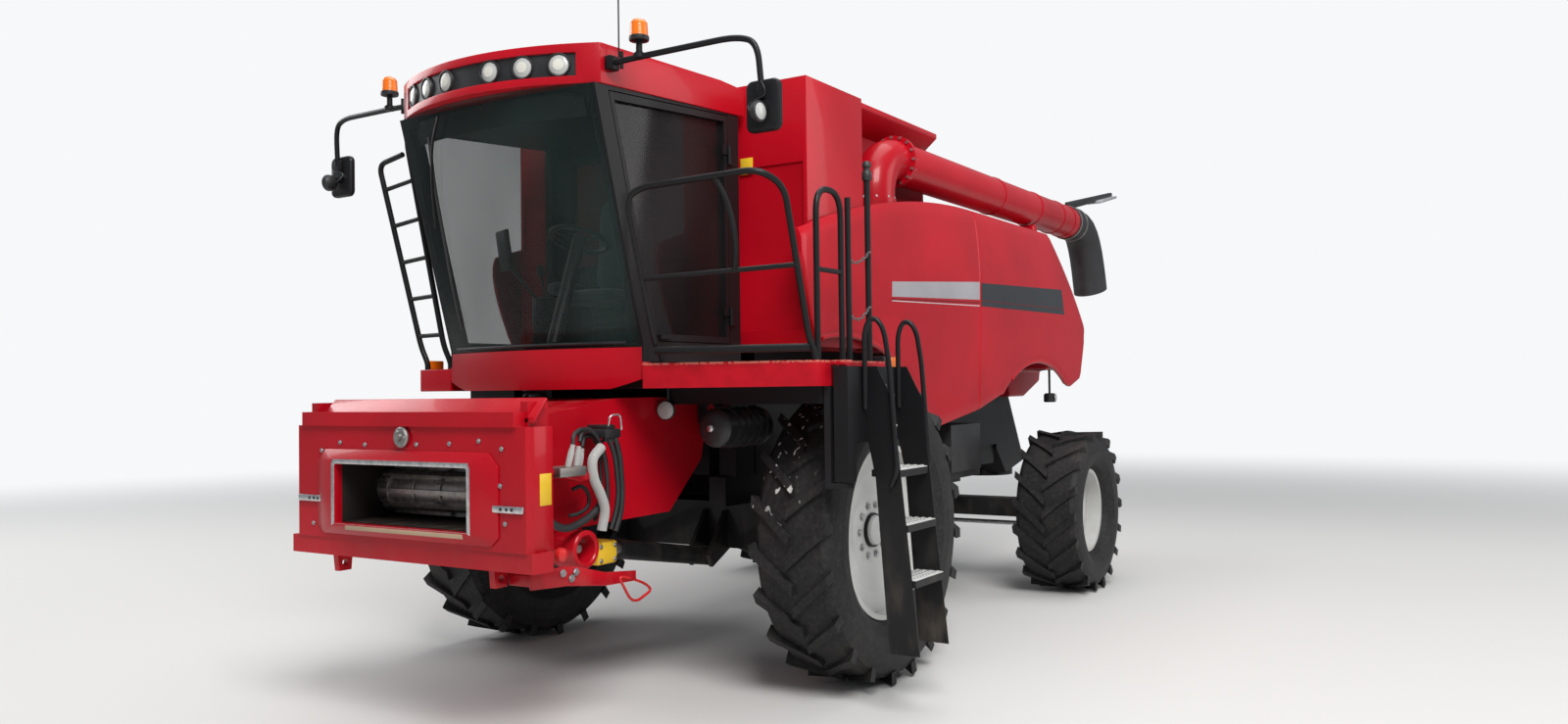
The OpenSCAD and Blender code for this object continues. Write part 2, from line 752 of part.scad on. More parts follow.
// Column with a steering wheel
module steering_column() {
    lean = -20;
    color(black) {
        block(1240, 1335, -70, 70, cab_z0 + cab_wall + touch, 2180);
        translate([1300, 0, 2150]) rotate([0, lean, 0]) {
            cylinder(h = 760, r = 45);
            translate([0, 0, 740]) rotate_extrude() translate([185, 0]) circle(r = 16);
            for (a = [90, 210, 330]) rotate([0, 0, a]) translate([0, -15, 732]) cube([185, 30, 14]);
        }
    }
}

// Mirror arms with the beacon stands and the whip aerial
module mirror_arms() {
    color(black) pair() {
        bent_tube([[1690, cab_y + 11, 3700], [1690, 1000, 3705], [1600, 1560, 3735], [1570, mirror_y, 3690],
            [1560, mirror_y + 20, 3440]], 34);
        translate([1690, 1030, 3700]) cylinder(h = beacon_z - touch - 3700, r = 34);
        block(1650, 1730, cab_y + 10 + touch, cab_y + 60, 3660, 3740);
    }
    color(black) translate([1660, 860, 3735]) cylinder(h = 560, r = 5);
}

// Mirror housings, tall main mirror and a round one in front
module mirrors() {
    color(black) pair() {
        block(1500, 1542.7, mirror_y - 110, mirror_y + 130, 3110, 3520);
        translate([1540, mirror_y + 60, 3240]) rotate([0, 90, 0]) cylinder(h = 70, r = 75);
    }
}

// Left deck with red edge, ladder column and its post
module left_deck() {
    edge = 12;
    color(black) linear_deck(plate_z0, deck_z - edge);
    color(red) linear_deck(deck_z - edge, deck_z);
    color(black) {
        block(post_at[0] - 40, post_at[0] + 40, deck_y - 43, deck_y - 3, 1310, plate_z0 + 1);
        block(post_at[0] - 40, post_at[0] + 40, deck_y - 4, post_at[1] + 30, 1310, 1340);
        block(post_at[0] - 40, post_at[0] + 40, deck_y - 4, post_at[1] + 30, deck_z - 25, deck_z);
        translate([post_at[0], post_at[1], 1320]) cylinder(h = deck_z - 1330, r = post_r);
    }
}

module linear_deck(z0, z1) {
    translate([0, 0, z0]) linear_extrude(z1 - z0)
        polygon([[deck_x0, cab_y + 10], [cab_x1 + 20, cab_y + 10], [1120, deck_y], [deck_x0, deck_y]]);
}

module right_deck() {
    color(red) block(deck_x0, cab_x1, -1100, -cab_y - 10, plate_z0, deck_z);
}

// Front rail, gate hoop, tall post and the rung guard on the right
module deck_rails() {
    foot = deck_z + touch;
    rail_y = deck_y - 25;
    color(black) {
        bent_tube([[1360, 905, foot], [1360, 905, foot + 45], [1440, 915, 2140], [1700, 935, 2930],
            [1670, 1010, 2990], [1540, rail_y - 75, 3035], [1400, rail_y, 2960], [1160, rail_y, 2140],
            [1100, rail_y, foot + 45], [1100, rail_y, foot]], rail_d);
        rod([1560, 925, 2500], [1285, rail_y, 2545], rail_d * 0.8);
        rod([1440, 920, 2130], [1170, rail_y, 2130], rail_d * 0.8);
        bent_tube([[1070, rail_y, foot], [1070, rail_y, 2930], [1000, rail_y, 3000], [860, rail_y, 3000],
            [790, rail_y, 2930], [790, rail_y, foot]], rail_d);
        translate([410, rail_y - 25, foot]) cylinder(h = 1180, r = 19);
        translate([410, rail_y - 25, foot + 1100]) cylinder(h = 60, r = 30);
        translate([410, rail_y - 25, foot + 1180]) sphere(r = 28);
        bent_tube([[1370, -1010, foot], [1370, -1010, foot + 45], [1380, -1050, 2180], [1480, -1330, 3420],
            [1490, -1120, 3450]], rail_d);
        bent_tube([[1370, -840, foot], [1370, -840, foot + 45], [1400, -870, 2180], [1490, -1110, 3540],
            [1560, -1000, 3640], [1640, -870, 3640]], rail_d);
        for (i = [0 : 4]) {
            t = i / 5 + 0.06;
            rod([1380 + 100 * t, -1050 - 280 * t, 2180 + 1240 * t],
                [1400 + 90 * t, -870 - 240 * t, 2180 + 1280 * t], rail_d * 0.8);
        }
    }
}

module tool_box() {
    color(black) {
        block(-2500, -1900, body_w / 2 + touch, 1250, 1180, 1560);
        block(-2600, -1700, rail_y1 + touch, 1200, 1120, 1181);
    }
}

// Ribbed canister below the deck
module air_canister() {
    y = front_track / 2 - front_tyre_w / 2 - 170;
    color(black) translate([0, y, 1645]) rotate([0, 90, 0]) {
        translate([0, 0, 560]) cylinder(h = 440, r = 115);
        for (i = [0 : 4]) translate([0, 0, 600 + i * 75]) cylinder(h = 30, r = 125);
    }
    color(black) block(700, 890, y - 30, y + 30, 1740, plate_z0 - touch);
}

// Exhaust stack through the hood, with a slanted outlet
module exhaust_stack() {
    color(steel) difference() {
        union() {
            translate([-2700, -700, hood_z1 + touch]) cylinder(h = 420, r = 75);
            translate([-2700, -700, hood_z1 + touch]) cylinder(h = 20, r = 110);
        }
        translate([-2700, -700, hood_z1 + 60]) cylinder(h = 500, r = 65);
        translate([-2800, -800, hood_z1 + 420]) rotate([0, 25, 0]) cube([400, 200, 300]);
    }
}

// Round air screen on the right of the hood
module air_screen() {
    z = 2880;
    lean = atan(shield_lean / (shield_top_z - crease_z));
    color(black) translate([-3150, -shield_in(z) - shield_t - touch, z]) rotate([90 - lean, 0, 0]) {
        rotate_extrude() polygon([[250, 0], [340, 0], [340, 50], [325, 60], [250, 60]]);
        for (a = [0 : 30 : 150]) rotate([0, 0, a]) translate([-260, -8, 20]) cube([520, 16, 12]);
        translate([0, 0, 10]) cylinder(h = 40, r = 60);
        cylinder(h = 10, r = 255);
    }
}

// Upright part of the unloader, fixed to the tank
module unloader_turret() {
    color(red) {
        translate([turret_x, turret_y, body_z1]) cylinder(h = turret_top - body_z1, r = turret_r);
        translate([turret_x, turret_y, turret_top - 30]) cylinder(h = 30, r = 166);
        block(turret_x - 60, turret_x + 60, tank_y + touch, turret_y - turret_r + 20, 2400, 2900);
    }
}

// Elbow and long tube, folded back
module unloader_tube() {
    color(red) {
        translate([turret_x, turret_y, turret_top + face_gap])
            cylinder(h = tube_z - bend_r - turret_top - face_gap, r = tube_r - 8);
        translate([turret_x, turret_y, turret_top + face_gap]) cylinder(h = 30, r = 167);
        translate([turret_x - bend_r, turret_y, tube_z - bend_r]) rotate([90, 0, 0])
            rotate_extrude(angle = 90) translate([bend_r, 0]) circle(r = tube_r - 8);
        translate([turret_x - bend_r + 1, turret_y, tube_z]) rotate([0, -90, 0]) {
            cylinder(h = 41, r = tube_r - 8);
            translate([0, 0, 10]) cylinder(h = 40, r = tube_r + 32);
            cylinder(h = turret_x - bend_r - tube_x0 + 1, r = tube_r);
        }
    }
}

// Rubber spout and the lamp arm
module unloader_spout() {
    w = tube_r - 4;
    color(black) side_plate([[tube_x0 - touch, tube_z + 150], [-6100, tube_z + 130], [-6400, tube_z - 60],
        [spout_x0, 2960], [-6560, 2860], [-5980, 2760], [-5800, 3300], [tube_x0 - touch, tube_z - 150]],
        turret_y - w, turret_y + w);
    color(silver) {
        bent_tube([[-5850, turret_y, tube_z + 90], [-6200, turret_y, tube_z + 300],
            [-6720, turret_y, tube_z + 500]], 30);
        block(lamp_x0, lamp_x0 + 210, turret_y - 60, turret_y + 60, tube_z + 470, tube_z + 530);
    }
}

// Door frame: as thick as the cab wall, with one large opening
module cab_door() {
    color(black) difference() {
        translate([0, cab_y, 0]) rotate([90, 0, 0]) linear_extrude(cab_wall)
            side_opening(door_x0 + swing_gap, door_margin, swing_gap);
        translate([0, cab_y + 1, 0]) rotate([90, 0, 0]) linear_extrude(cab_wall + 2)
            side_opening(door_x0 + door_edge, door_margin + door_edge, door_edge);
    }
    color(silver) block(1150, 1270, cab_y - 1, cab_y + 30, 2175, 2200);
    color(black) for (z = hinge_zs) difference() {
        union() {
            translate([hinge_at[0], hinge_at[1], z + 61]) cylinder(h = 59, r = 12);
            block(hinge_at[0], hinge_at[0] + 60, cab_y - 1, cab_y + 8, z + 61, z + 120);
        }
        translate([hinge_at[0], hinge_at[1], z]) cylinder(h = 130, r = 6 + pin_gap);
    }
}

module door_glass() {
    color(clear) translate([0, cab_y - cab_wall / 2, 0]) rotate([90, 0, 0]) linear_extrude(glass_t)
        side_opening(door_x0 + door_edge + touch, door_margin + door_edge + touch, door_edge + touch);
}

// Ladder: sleeve on its post, head plate, two stringers and the steps
module ladder() {
    top = deck_z - 35;
    stringer = [for (p = [[100, 1560], [100, top], [160, top], [260, 1800], [305, 1350], [405, 360],
        [215, 360], [145, 1350]]) [deck_y + p[0], p[1]]];
    color(black) difference() {
        union() {
            block(post_at[0] - sleeve / 2, post_at[0] + sleeve / 2, post_at[1] - sleeve / 2,
                post_at[1] + sleeve / 2, 1346, top);
            block(ladder_x0, post_at[0] - sleeve / 2 + 1, post_at[1] + 25, post_at[1] + 40, 1560, top);
            front_plate(stringer, ladder_x0, ladder_x0 + 8);
            front_plate(stringer, ladder_x1 - 8, ladder_x1);
        }
        translate([post_at[0], post_at[1], 1300]) cylinder(h = 800, r = post_r + pin_gap);
    }
    color(silver) for (i = [0 : 2])
        translate([0, step_y + i * step_out, step_z - i * step_gap])
            block(ladder_x0 + 8, ladder_x1 - 8, -180, 0, -40, 0);
}

// Hand hoops beside the ladder
module ladder_rails() {
    d = 30;
    y0 = post_at[1] + 40 + 0.53 * d + touch;
    side = 0.53 * d + touch;
    color(black) for (x = [ladder_x0 - side, ladder_x1 + side])
        bent_tube([[x + 60, y0, 1750], [x + 60, y0, 2180], [x + 40, y0 + 20, 2260],
            [x + 30, deck_y + 190, 2265], [x + 20, deck_y + 230, 2200], [x, deck_y + 250, 2010],
            [x, deck_y + 290, 1400], [x, deck_y + 250, 1310]], d);
}

// Sheet-steel tunnel with pivot pins and the cylinder lugs
module feeder_house() {
    half = feeder_w / 2;
    w = feeder_wall;
    outline = [[face_x - face_t - face_gap, tunnel_z0], [face_x - face_t - face_gap, tunnel_z1],
        [1400, 1830], [620, 1830], [500, 1700], [560, 1430], [900, 1120]];
    color(red) difference() {
        union() {
            side_plate(outline, -half, half);
            pair() translate([feeder_pivot[0], 0, feeder_pivot[2]])
                wheel_disc(pivot_r, half - 1, half + 80);
            for (y = [barrel_y - eye_w / 2 - 31, barrel_y + eye_w / 2 + 11]) pair() side_plate(
                [[1600, tunnel_z0 + 18], [1660, 960], [1840, 960], [1900, tunnel_z0 + 18]], y, y + 20);
            pair() translate([eye_at[0], 0, eye_at[2]])
                wheel_disc(lift_pin_r, barrel_y - eye_w / 2 - 25, barrel_y + eye_w / 2 + 25);
        }
        side_plate([[face_x, tunnel_z0 + w], [face_x, tunnel_z1 - w], [1400, 1830 - w], [490, 1830 - w],
            [490, 1500], [590, 1440], [910, 1120 + w]], -half + w, half - w);
    }
}

// Faceplate with throat, hook bar, ears and lower beam
module feeder_face() {
    color(red) {
        difference() {
            block(face_x - face_t, face_x, -face_w / 2, face_w / 2, face_z0, face_z1);
            block(face_x - face_t - 1, face_x + 1, -throat_w / 2, throat_w / 2, throat_z0, throat_z1);
        }
        block(face_x - face_t, face_x + hook_out, -face_w / 2 + 60, face_w / 2 - 60, face_z1 - 1, hook_z);
        block(face_x - 160, face_x - 10, -face_w / 2 - 70, face_w / 2 + 30, face_z0 - 100, face_z0);
        pair() translate([face_x, face_w / 2, 0]) block(-200, -face_t + 1, -90, -40, face_z0, hook_z + 50);
        pair() translate(lug_at) difference() {
            side_plate([[-50, lug_drop + 1], [-40, -45], [40, -45], [50, lug_drop + 1]], -20, 20);
            wheel_disc(lug_pin_r, -21, 21);
        }
    }
}

// Front drum and the slatted chain that runs round it
module feeder_chain() {
    slats = 8;
    color(steel) {
        translate([drum_x, 0, drum_z]) {
            wheel_disc(drum_r, -feeder_w / 2 + feeder_wall + touch, feeder_w / 2 - feeder_wall - touch);
            for (i = [0 : slats - 1]) rotate([0, i * 360 / slats, 0])
                block(drum_r - 8, slat_r, -480, 480, -12, 12);
        }
    }
}

module lift_barrels() {
    v = eye_at - foot_at;
    l = norm(v);
    tilt = atan2(v[2], v[0]);
    color(black) pair() translate([foot_at[0], barrel_y, foot_at[2]]) rotate([0, -tilt, 0]) difference() {
        union() {
            rotate([90, 0, 0]) translate([0, 0, -48]) cylinder(h = 96, r = barrel_r);
            rotate([0, 90, 0]) cylinder(h = l * 0.62, r = barrel_r);
        }
        rotate([90, 0, 0]) translate([0, 0, -60]) cylinder(h = 120, r = lift_pin_r + pin_gap);
        rotate([0, 90, 0]) translate([0, 0, 200]) cylinder(h = l, r = lift_rod_r + pin_gap);
    }
}

module lift_rods() {
    v = eye_at - foot_at;
    l = norm(v);
    tilt = atan2(v[2], v[0]);
    eye_r = lift_pin_r + eye_clear + 16;
    color(steel) pair() translate([foot_at[0], barrel_y, foot_at[2]]) rotate([0, -tilt, 0]) difference() {
        union() {
            translate([l * 0.5, 0, 0]) rotate([0, 90, 0])
                cylinder(h = l * 0.5 - lift_pin_r - eye_clear, r = lift_rod_r);
            translate([l, 0, 0]) wheel_disc(eye_r, -eye_w / 2, eye_w / 2);
        }
        translate([l, 0, 0]) wheel_disc(lift_pin_r + eye_clear, -eye_w, eye_w);
    }
}

machine() main_frame();
machine() front_axle();
machine() rear_axle();
machine() separator_body();
machine() engine_block();
machine() engine_hood();
machine() straw_hood();
machine() straw_spreader();
machine() grain_tank();
machine() tank_flaps();
machine() cab_frame();
machine() cab_glass();
machine() cab_roof();
machine() cab_nose();
machine() lamp_band();
machine() clear_lamps();
machine() amber_lamps();
machine() operator_seat();
machine() steering_column();
machine() mirror_arms();
machine() mirrors();
machine() left_deck();
machine() right_deck();
machine() deck_rails();
machine() left_front_shield();
machine() left_rear_shield();
machine() right_front_shield();
machine() right_rear_shield();
machine() tool_box();
machine() air_canister();
machine() exhaust_stack();
machine() air_screen();
machine() unloader_turret();
machine() unloader_tube();
machine() unloader_spout();
machine() cab_door();
machine() door_glass();
machine() ladder();
machine() ladder_rails();
machine() feeder_house();
machine() feeder_face();
machine() feeder_chain();
machine() lift_barrels();
machine() lift_rods();
machine() tie_rod();
machine() left_knuckle();
machine() right_knuckle();
machine() front_tyre(1);  // front_left_tyre
machine() front_rim(1);  // front_left_rim
machine() front_tyre(-1);  // front_right_tyre
machine() front_rim(-1);  // front_right_rim
machine() rear_tyre(1);  // rear_left_tyre
machine() rear_rim(1);  // rear_left_rim
machine() rear_tyre(-1);  // rear_right_tyre
machine() rear_rim(-1);  // rear_right_rim
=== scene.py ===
"""Looks of a combine harvester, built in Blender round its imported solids."""

from __future__ import annotations

import json
import logging
import math
from contextlib import contextmanager
from dataclasses import dataclass, field
from enum import Enum
from typing import Iterator

import bmesh
import bpy
from mathutils import Matrix, Vector

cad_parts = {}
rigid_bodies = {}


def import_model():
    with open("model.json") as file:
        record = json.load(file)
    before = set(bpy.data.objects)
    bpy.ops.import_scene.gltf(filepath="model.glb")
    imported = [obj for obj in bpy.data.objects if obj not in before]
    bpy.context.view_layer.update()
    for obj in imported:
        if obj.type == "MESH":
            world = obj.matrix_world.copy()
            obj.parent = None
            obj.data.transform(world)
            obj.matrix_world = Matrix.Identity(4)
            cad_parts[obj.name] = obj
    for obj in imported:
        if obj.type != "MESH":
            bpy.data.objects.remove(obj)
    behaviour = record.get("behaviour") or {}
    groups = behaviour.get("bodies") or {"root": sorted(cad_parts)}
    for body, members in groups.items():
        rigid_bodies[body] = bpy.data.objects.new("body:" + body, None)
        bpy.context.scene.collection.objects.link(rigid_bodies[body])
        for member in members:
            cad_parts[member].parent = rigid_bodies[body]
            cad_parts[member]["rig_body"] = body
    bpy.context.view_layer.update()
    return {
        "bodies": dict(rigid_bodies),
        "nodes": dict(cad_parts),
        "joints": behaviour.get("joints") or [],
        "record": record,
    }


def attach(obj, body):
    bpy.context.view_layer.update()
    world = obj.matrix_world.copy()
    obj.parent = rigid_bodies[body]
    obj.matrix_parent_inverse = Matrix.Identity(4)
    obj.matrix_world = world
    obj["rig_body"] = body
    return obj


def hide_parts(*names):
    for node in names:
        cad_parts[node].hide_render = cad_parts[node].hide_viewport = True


log = logging.getLogger("harvester")

AHEAD = Vector((1, 0, 0))
LEFTWARD = Vector((0, 1, 0))
UP = Vector((0, 0, 1))
# Machine places are given from the ground below the front axle and moved to the part's origin
SHIFT = Vector((2.215, -0.174, 0.0))
# Width, height and focal length of the picture in pixels, and the width of its camera's sensor
PHOTO_WIDTH = 1600
PHOTO_HEIGHT = 739
FOCAL_PX = 1176.7
SENSOR_MM = 36.0
# Heights and places that several pieces keep to, in millimetres
ARM_Z = 3700
BEACON_Z = 3805
HOOD_X0 = -5090
HOOD_STEP = 2020
DUST = (0.42, 0.33, 0.24)
SKY_LIGHT = (0.86, 0.92, 1.0, 1.0)
SKY_SEEN = (0.93, 0.94, 0.95, 1.0)


def place(x: float, y: float, z: float) -> Vector:
    """Moves a point of the machine's own frame to the part's frame."""
    return Vector((x, y, z)) + SHIFT


def mm(x: float, y: float, z: float) -> Vector:
    """A point of the machine's own frame in millimetres, as a point of the part's frame."""
    return place(x / 1000, y / 1000, z / 1000)


def route(points: tuple | list) -> list[Vector]:
    """Points of the machine's own frame in millimetres, as points of the part's frame."""
    return [mm(*point) for point in points]


class Side(Enum):
    """The machine's two sides, as the sign of Y."""

    LEFT = 1
    RIGHT = -1

    @property
    def word(self) -> str:
        """The side's name, as the pieces carry it."""
        return self.name.lower()

    @property
    def out(self) -> Vector:
        """Direction away from the machine's middle."""
        return Vector((0, self.value, 0))


def linked(name: str, data: bpy.types.ID) -> bpy.types.Object:
    """Puts data into the scene as an object at the origin."""
    obj = bpy.data.objects.new(name, data)
    bpy.context.scene.collection.objects.link(obj)
    return obj


def add_node(
    tree: bpy.types.NodeTree, kind: str, settings: dict, values: dict, output: int | str = 0
) -> bpy.types.NodeSocket:
    """Adds a node to a tree, sets it up and links it.

    Args:
        tree: the material's, world's or shape's tree.
        kind: the node's type name.
        settings: properties of the node, set first.
        values: a number, colour or socket for each input, by index or name.
        output: which output is handed back.

    Returns:
        The chosen output.
    """
    made = tree.nodes.new(kind)
    for key, value in settings.items():
        setattr(made, key, value)
    for key, value in values.items():
        if isinstance(value, bpy.types.NodeSocket):
            tree.links.new(value, made.inputs[key])
        else:
            made.inputs[key].default_value = value
    return made.outputs[output]


# Finishes


class Sock:
    """A shader socket whose maths reads as Python and adds Math nodes."""

    def __init__(self, shader: Shader, socket: bpy.types.NodeSocket) -> None:
        """Keeps the socket and the shader that it belongs to."""
        self.shader = shader
        self.socket = socket

    def _math(self, operation: str, *values: Sock | float) -> Sock:
        """Adds one Math node for the operation on the given values."""
        return self.shader.node("ShaderNodeMath", {"operation": operation}, dict(enumerate(values)))

    def __add__(self, other: Sock | float) -> Sock:
        """Sum."""
        return self._math("ADD", self, other)

    __radd__ = __add__

    def __sub__(self, other: Sock | float) -> Sock:
        """Difference."""
        return self._math("SUBTRACT", self, other)

    def __rsub__(self, other: Sock | float) -> Sock:
        """Difference from a number."""
        return self._math("SUBTRACT", other, self)

    def __mul__(self, other: Sock | float) -> Sock:
        """Product."""
        return self._math("MULTIPLY", self, other)

    __rmul__ = __mul__

    def ramp(self, low: float, high: float) -> Sock:
        """Smooth step from 0 at low to 1 at high.

        Args:
            low: value at which the result is 0.
            high: value at which the result is 1.

        Returns:
            The stepped socket.
        """
        settings = {"interpolation_type": "SMOOTHSTEP"}
        return self.shader.node("ShaderNodeMapRange", settings, {0: self, 1: low, 2: high})

    def at_least(self, other: Sock | float) -> Sock:
        """The greater of two values."""
        return self._math("MAXIMUM", self, other)


class Shader:
    """One material's node tree with a Principled surface."""

    def __init__(self, name: str) -> None:
        """Makes the material and keeps its surface node."""
        self.material = bpy.data.materials.new(name)
        self.material.use_nodes = True
        self.tree = self.material.node_tree
        self.surface = next(n for n in self.tree.nodes if n.type == "BSDF_PRINCIPLED")
        self.coords = Sock(self, self.tree.nodes.new("ShaderNodeTexCoord").outputs["Object"])

    def node(self, kind: str, settings: dict, values: dict, output: int | str = 0) -> Sock:
        """Adds a node as add_node does, from sockets with maths to a socket with maths."""
        plain = {key: value.socket if isinstance(value, Sock) else value for key, value in values.items()}
        return Sock(self, add_node(self.tree, kind, settings, plain, output))

    def noise(self, scale: float, detail: float = 4.0, stretch: tuple[float, ...] = (1, 1, 1)) -> Sock:
        """Noise on the object's own coordinates.

        Args:
            scale: how many features to a metre.
            detail: octaves.
            stretch: factor along each axis, to draw the noise out into streaks.

        Returns:
            The noise value.
        """
        where = self.node("ShaderNodeMapping", {}, {"Vector": self.coords, "Scale": stretch})
        values = {"Vector": where, "Scale": scale, "Detail": detail}
        return self.node("ShaderNodeTexNoise", {"noise_dimensions": "3D"}, values)

    def axis(self, name: str) -> Sock:
        """One of the object's coordinates, X, Y or Z."""
        return self.node("ShaderNodeSeparateXYZ", {}, {0: self.coords}, name)

    def facing_up(self) -> Sock:
        """How far the surface faces up, from -1 to 1."""
        normal = Sock(self, self.tree.nodes.new("ShaderNodeNewGeometry").outputs["Normal"])
        return self.node("ShaderNodeSeparateXYZ", {}, {0: normal}, "Z")

    def mix(self, factor: Sock | float, first: tuple | Sock, second: tuple | Sock) -> Sock:
        """Mixes two colours by a factor."""
        values = {"Factor": factor, 6: rgba(first), 7: rgba(second)}
        return self.node("ShaderNodeMix", {"data_type": "RGBA"}, values, 2)

    def bump(self, height: Sock, strength: float, distance: float) -> None:
        """Feeds a height to the surface's normal.

        Args:
            height: the height, from 0 to 1.
            strength: share of the bump that is used.
            distance: the height of 1 in metres.
        """
        values = {"Strength": strength, "Distance": distance, "Height": height}
        made = self.node("ShaderNodeBump", {}, values)
        self.tree.links.new(made.socket, self.surface.inputs["Normal"])

    def set(self, **values: Sock | float | tuple) -> None:
        """Sets the surface's inputs, with underscores for spaces in their names."""
        for key, value in values.items():
            target = self.surface.inputs[key.replace("_", " ")]
            if isinstance(value, Sock):
                self.tree.links.new(value.socket, target)
            else:
                target.default_value = value

    def grain(self, scale: float, strength: float, distance: float) -> bpy.types.Material:
        """Roughens the surface with a fine bump and hands the material back.

        Args:
            scale: how many features to a metre.
            strength: share of the bump that is used.
            distance: height of the bump in metres.

        Returns:
            The finished material.
        """
        self.bump(self.noise(scale, 2.0), strength, distance)
        return self.material


def rgba(colour: tuple | Sock) -> tuple | Sock:
    """A colour with its alpha, or a socket as it is."""
    if isinstance(colour, Sock) or len(colour) == 4:
        return colour
    return (*colour, 1.0)


def shade(colour: tuple[float, ...], factor: float) -> tuple[float, ...]:
    """A darker or lighter tone of a colour."""
    return tuple(factor * part for part in colour)


@dataclass(frozen=True)
class Paint:
    """Gloss enamel with a clear coat, faint orange peel and dust towards the ground."""

    name: str
    colour: tuple[float, float, float]
    gloss: float = 0.32
    coat: float = 0.2
    dust_top: float = 1.3
    dust: float = 0.2
    deep: float = 0.78
    peel: tuple[float, float, float] = (120.0, 0.05, 0.0006)

    def make(self) -> bpy.types.Material:
        """Builds the material."""
        s = Shader(self.name)
        broad = s.noise(1.3, 3.0)
        grime = s.noise(9.0, 6.0, (1.0, 1.0, 0.35))
        low = 1.0 - s.axis("Z").ramp(0.1, self.dust_top)
        settled = (s.facing_up().ramp(0.6, 1.0) * 0.10 + low * self.dust) * grime.ramp(0.42, 0.75)
        base = s.mix(broad.ramp(0.3, 0.7), shade(self.colour, self.deep), self.colour)
        s.set(Base_Color=s.mix(settled, base, DUST), Coat_Roughness=0.06)
        s.set(Coat_Weight=self.coat * (1.0 - settled), Specular_IOR_Level=0.2)
        s.set(Roughness=settled * 0.45 + self.gloss + grime * 0.05)
        return s.grain(*self.peel)


@dataclass(frozen=True)
class DeckPaint(Paint):
    """Enamel on the deck, with the lamp housing and its column in black and a scuffed edge."""

    def make(self) -> bpy.types.Material:
        """Builds the material."""
        s = Shader(self.name)
        grime = s.noise(9.0, 6.0)
        low = 1.0 - s.axis("Z").ramp(1.884, 1.886)
        rear = 1.0 - s.axis("X").ramp(2.5185, 2.5195)
        black = low.at_least(rear)
        edge = s.axis("Z").ramp(2.012, 2.026) * s.noise(42.0, 3.0).ramp(0.40, 0.52) * (1.0 - black)
        base = s.mix(grime.ramp(0.3, 0.7), shade(self.colour, self.deep), self.colour)
        worn = s.mix(edge * 0.7, base, (0.62, 0.22, 0.16))
        s.set(Base_Color=s.mix(black, worn, (0.012, 0.012, 0.013)), Coat_Weight=self.coat * (1.0 - edge))
        s.set(Roughness=grime * 0.12 + self.gloss, Specular_IOR_Level=0.2)
        return s.grain(*self.peel)


@dataclass(frozen=True)
class Tread:
    """Tyre rubber: dark, matt, dusty in the grooves and on the shoulders."""

    name: str = "tread_rubber"
    splashed: bool = False

    def make(self) -> bpy.types.Material:
        """Builds the material."""
        s = Shader(self.name)
        fine = s.noise(38.0, 6.0)
        broad = s.noise(3.5, 5.0)
        dust = broad.ramp(0.45, 0.75) * 0.08 + fine.ramp(0.55, 0.75) * 0.06
        base = s.mix(fine.ramp(0.3, 0.7), (0.009, 0.009, 0.010), (0.019, 0.018, 0.018))
        colour = s.mix(dust, base, (0.16, 0.135, 0.11))
        if self.splashed:
            spot = s.noise(24.0, 1.0, (1.0, 1.0, 0.6)).ramp(0.665, 0.70)
            ahead = s.axis("X").ramp(2.5, 2.75) * s.axis("Z").ramp(0.95, 1.35)
            inner = 1.0 - s.axis("Y").ramp(1.25, 1.45)
            colour = s.mix(spot * ahead * inner, colour, (0.62, 0.61, 0.58))
        s.set(Base_Color=colour, Roughness=dust * 0.25 + 0.6, Specular_IOR_Level=0.3)
        s.bump(fine, 0.35, 0.002)
        return s.material


@dataclass(frozen=True)
class Plastic:
    """Moulded or painted plastic with a fine grain."""

    name: str
    colour: tuple[float, float, float]
    roughness: float = 0.45
    grain: float = 260.0

    def make(self) -> bpy.types.Material:
        """Builds the material."""
        s = Shader(self.name)
        wear = s.noise(6.0, 5.0).ramp(0.4, 0.8)
        pale = tuple(c * 1.6 + 0.012 for c in self.colour)
        s.set(Base_Color=s.mix(wear * 0.5, self.colour, pale), Roughness=wear * 0.12 + self.roughness)
        return s.grain(self.grain, 0.12, 0.0005)


@dataclass(frozen=True)
class Metal:
    """Bare metal with streaks, stains and a little rust."""

    name: str
    colour: tuple[float, float, float] = (0.55, 0.55, 0.56)
    roughness: float = 0.32
    rust: float = 0.2

    def make(self) -> bpy.types.Material:
        """Builds the material."""
        s = Shader(self.name)
        streak = s.noise(30.0, 5.0, (0.15, 1.0, 1.0))
        stain = s.noise(7.0, 6.0).ramp(0.5, 0.75) * self.rust
        base = s.mix(streak.ramp(0.3, 0.7), shade(self.colour, 0.7), self.colour)
        s.set(Base_Color=s.mix(stain, base, (0.20, 0.10, 0.05)), Metallic=1.0 - stain * 0.8)
        s.set(Roughness=streak * 0.15 + self.roughness)
        s.bump(streak, 0.15, 0.0006)
        return s.material


@dataclass(frozen=True)
class Pane:
    """Tinted safety glass with faint patchy dust."""

    name: str = "window_glass"
    tint: tuple[float, float, float] = (0.012, 0.022, 0.020)
    cover: float = 0.34

    def make(self) -> bpy.types.Material:
        """Builds the material."""
        s = Shader(self.name)
        haze = s.noise(1.4, 2.0, (1.0, 1.0, 0.4)).ramp(0.4, 0.8)
        s.set(Base_Color=s.mix(haze, self.tint, shade(self.tint, 2.2)), IOR=1.5, Specular_IOR_Level=0.25)
        s.set(Alpha=haze * 0.10 + self.cover, Roughness=haze * 0.05 + 0.03)
        return s.material


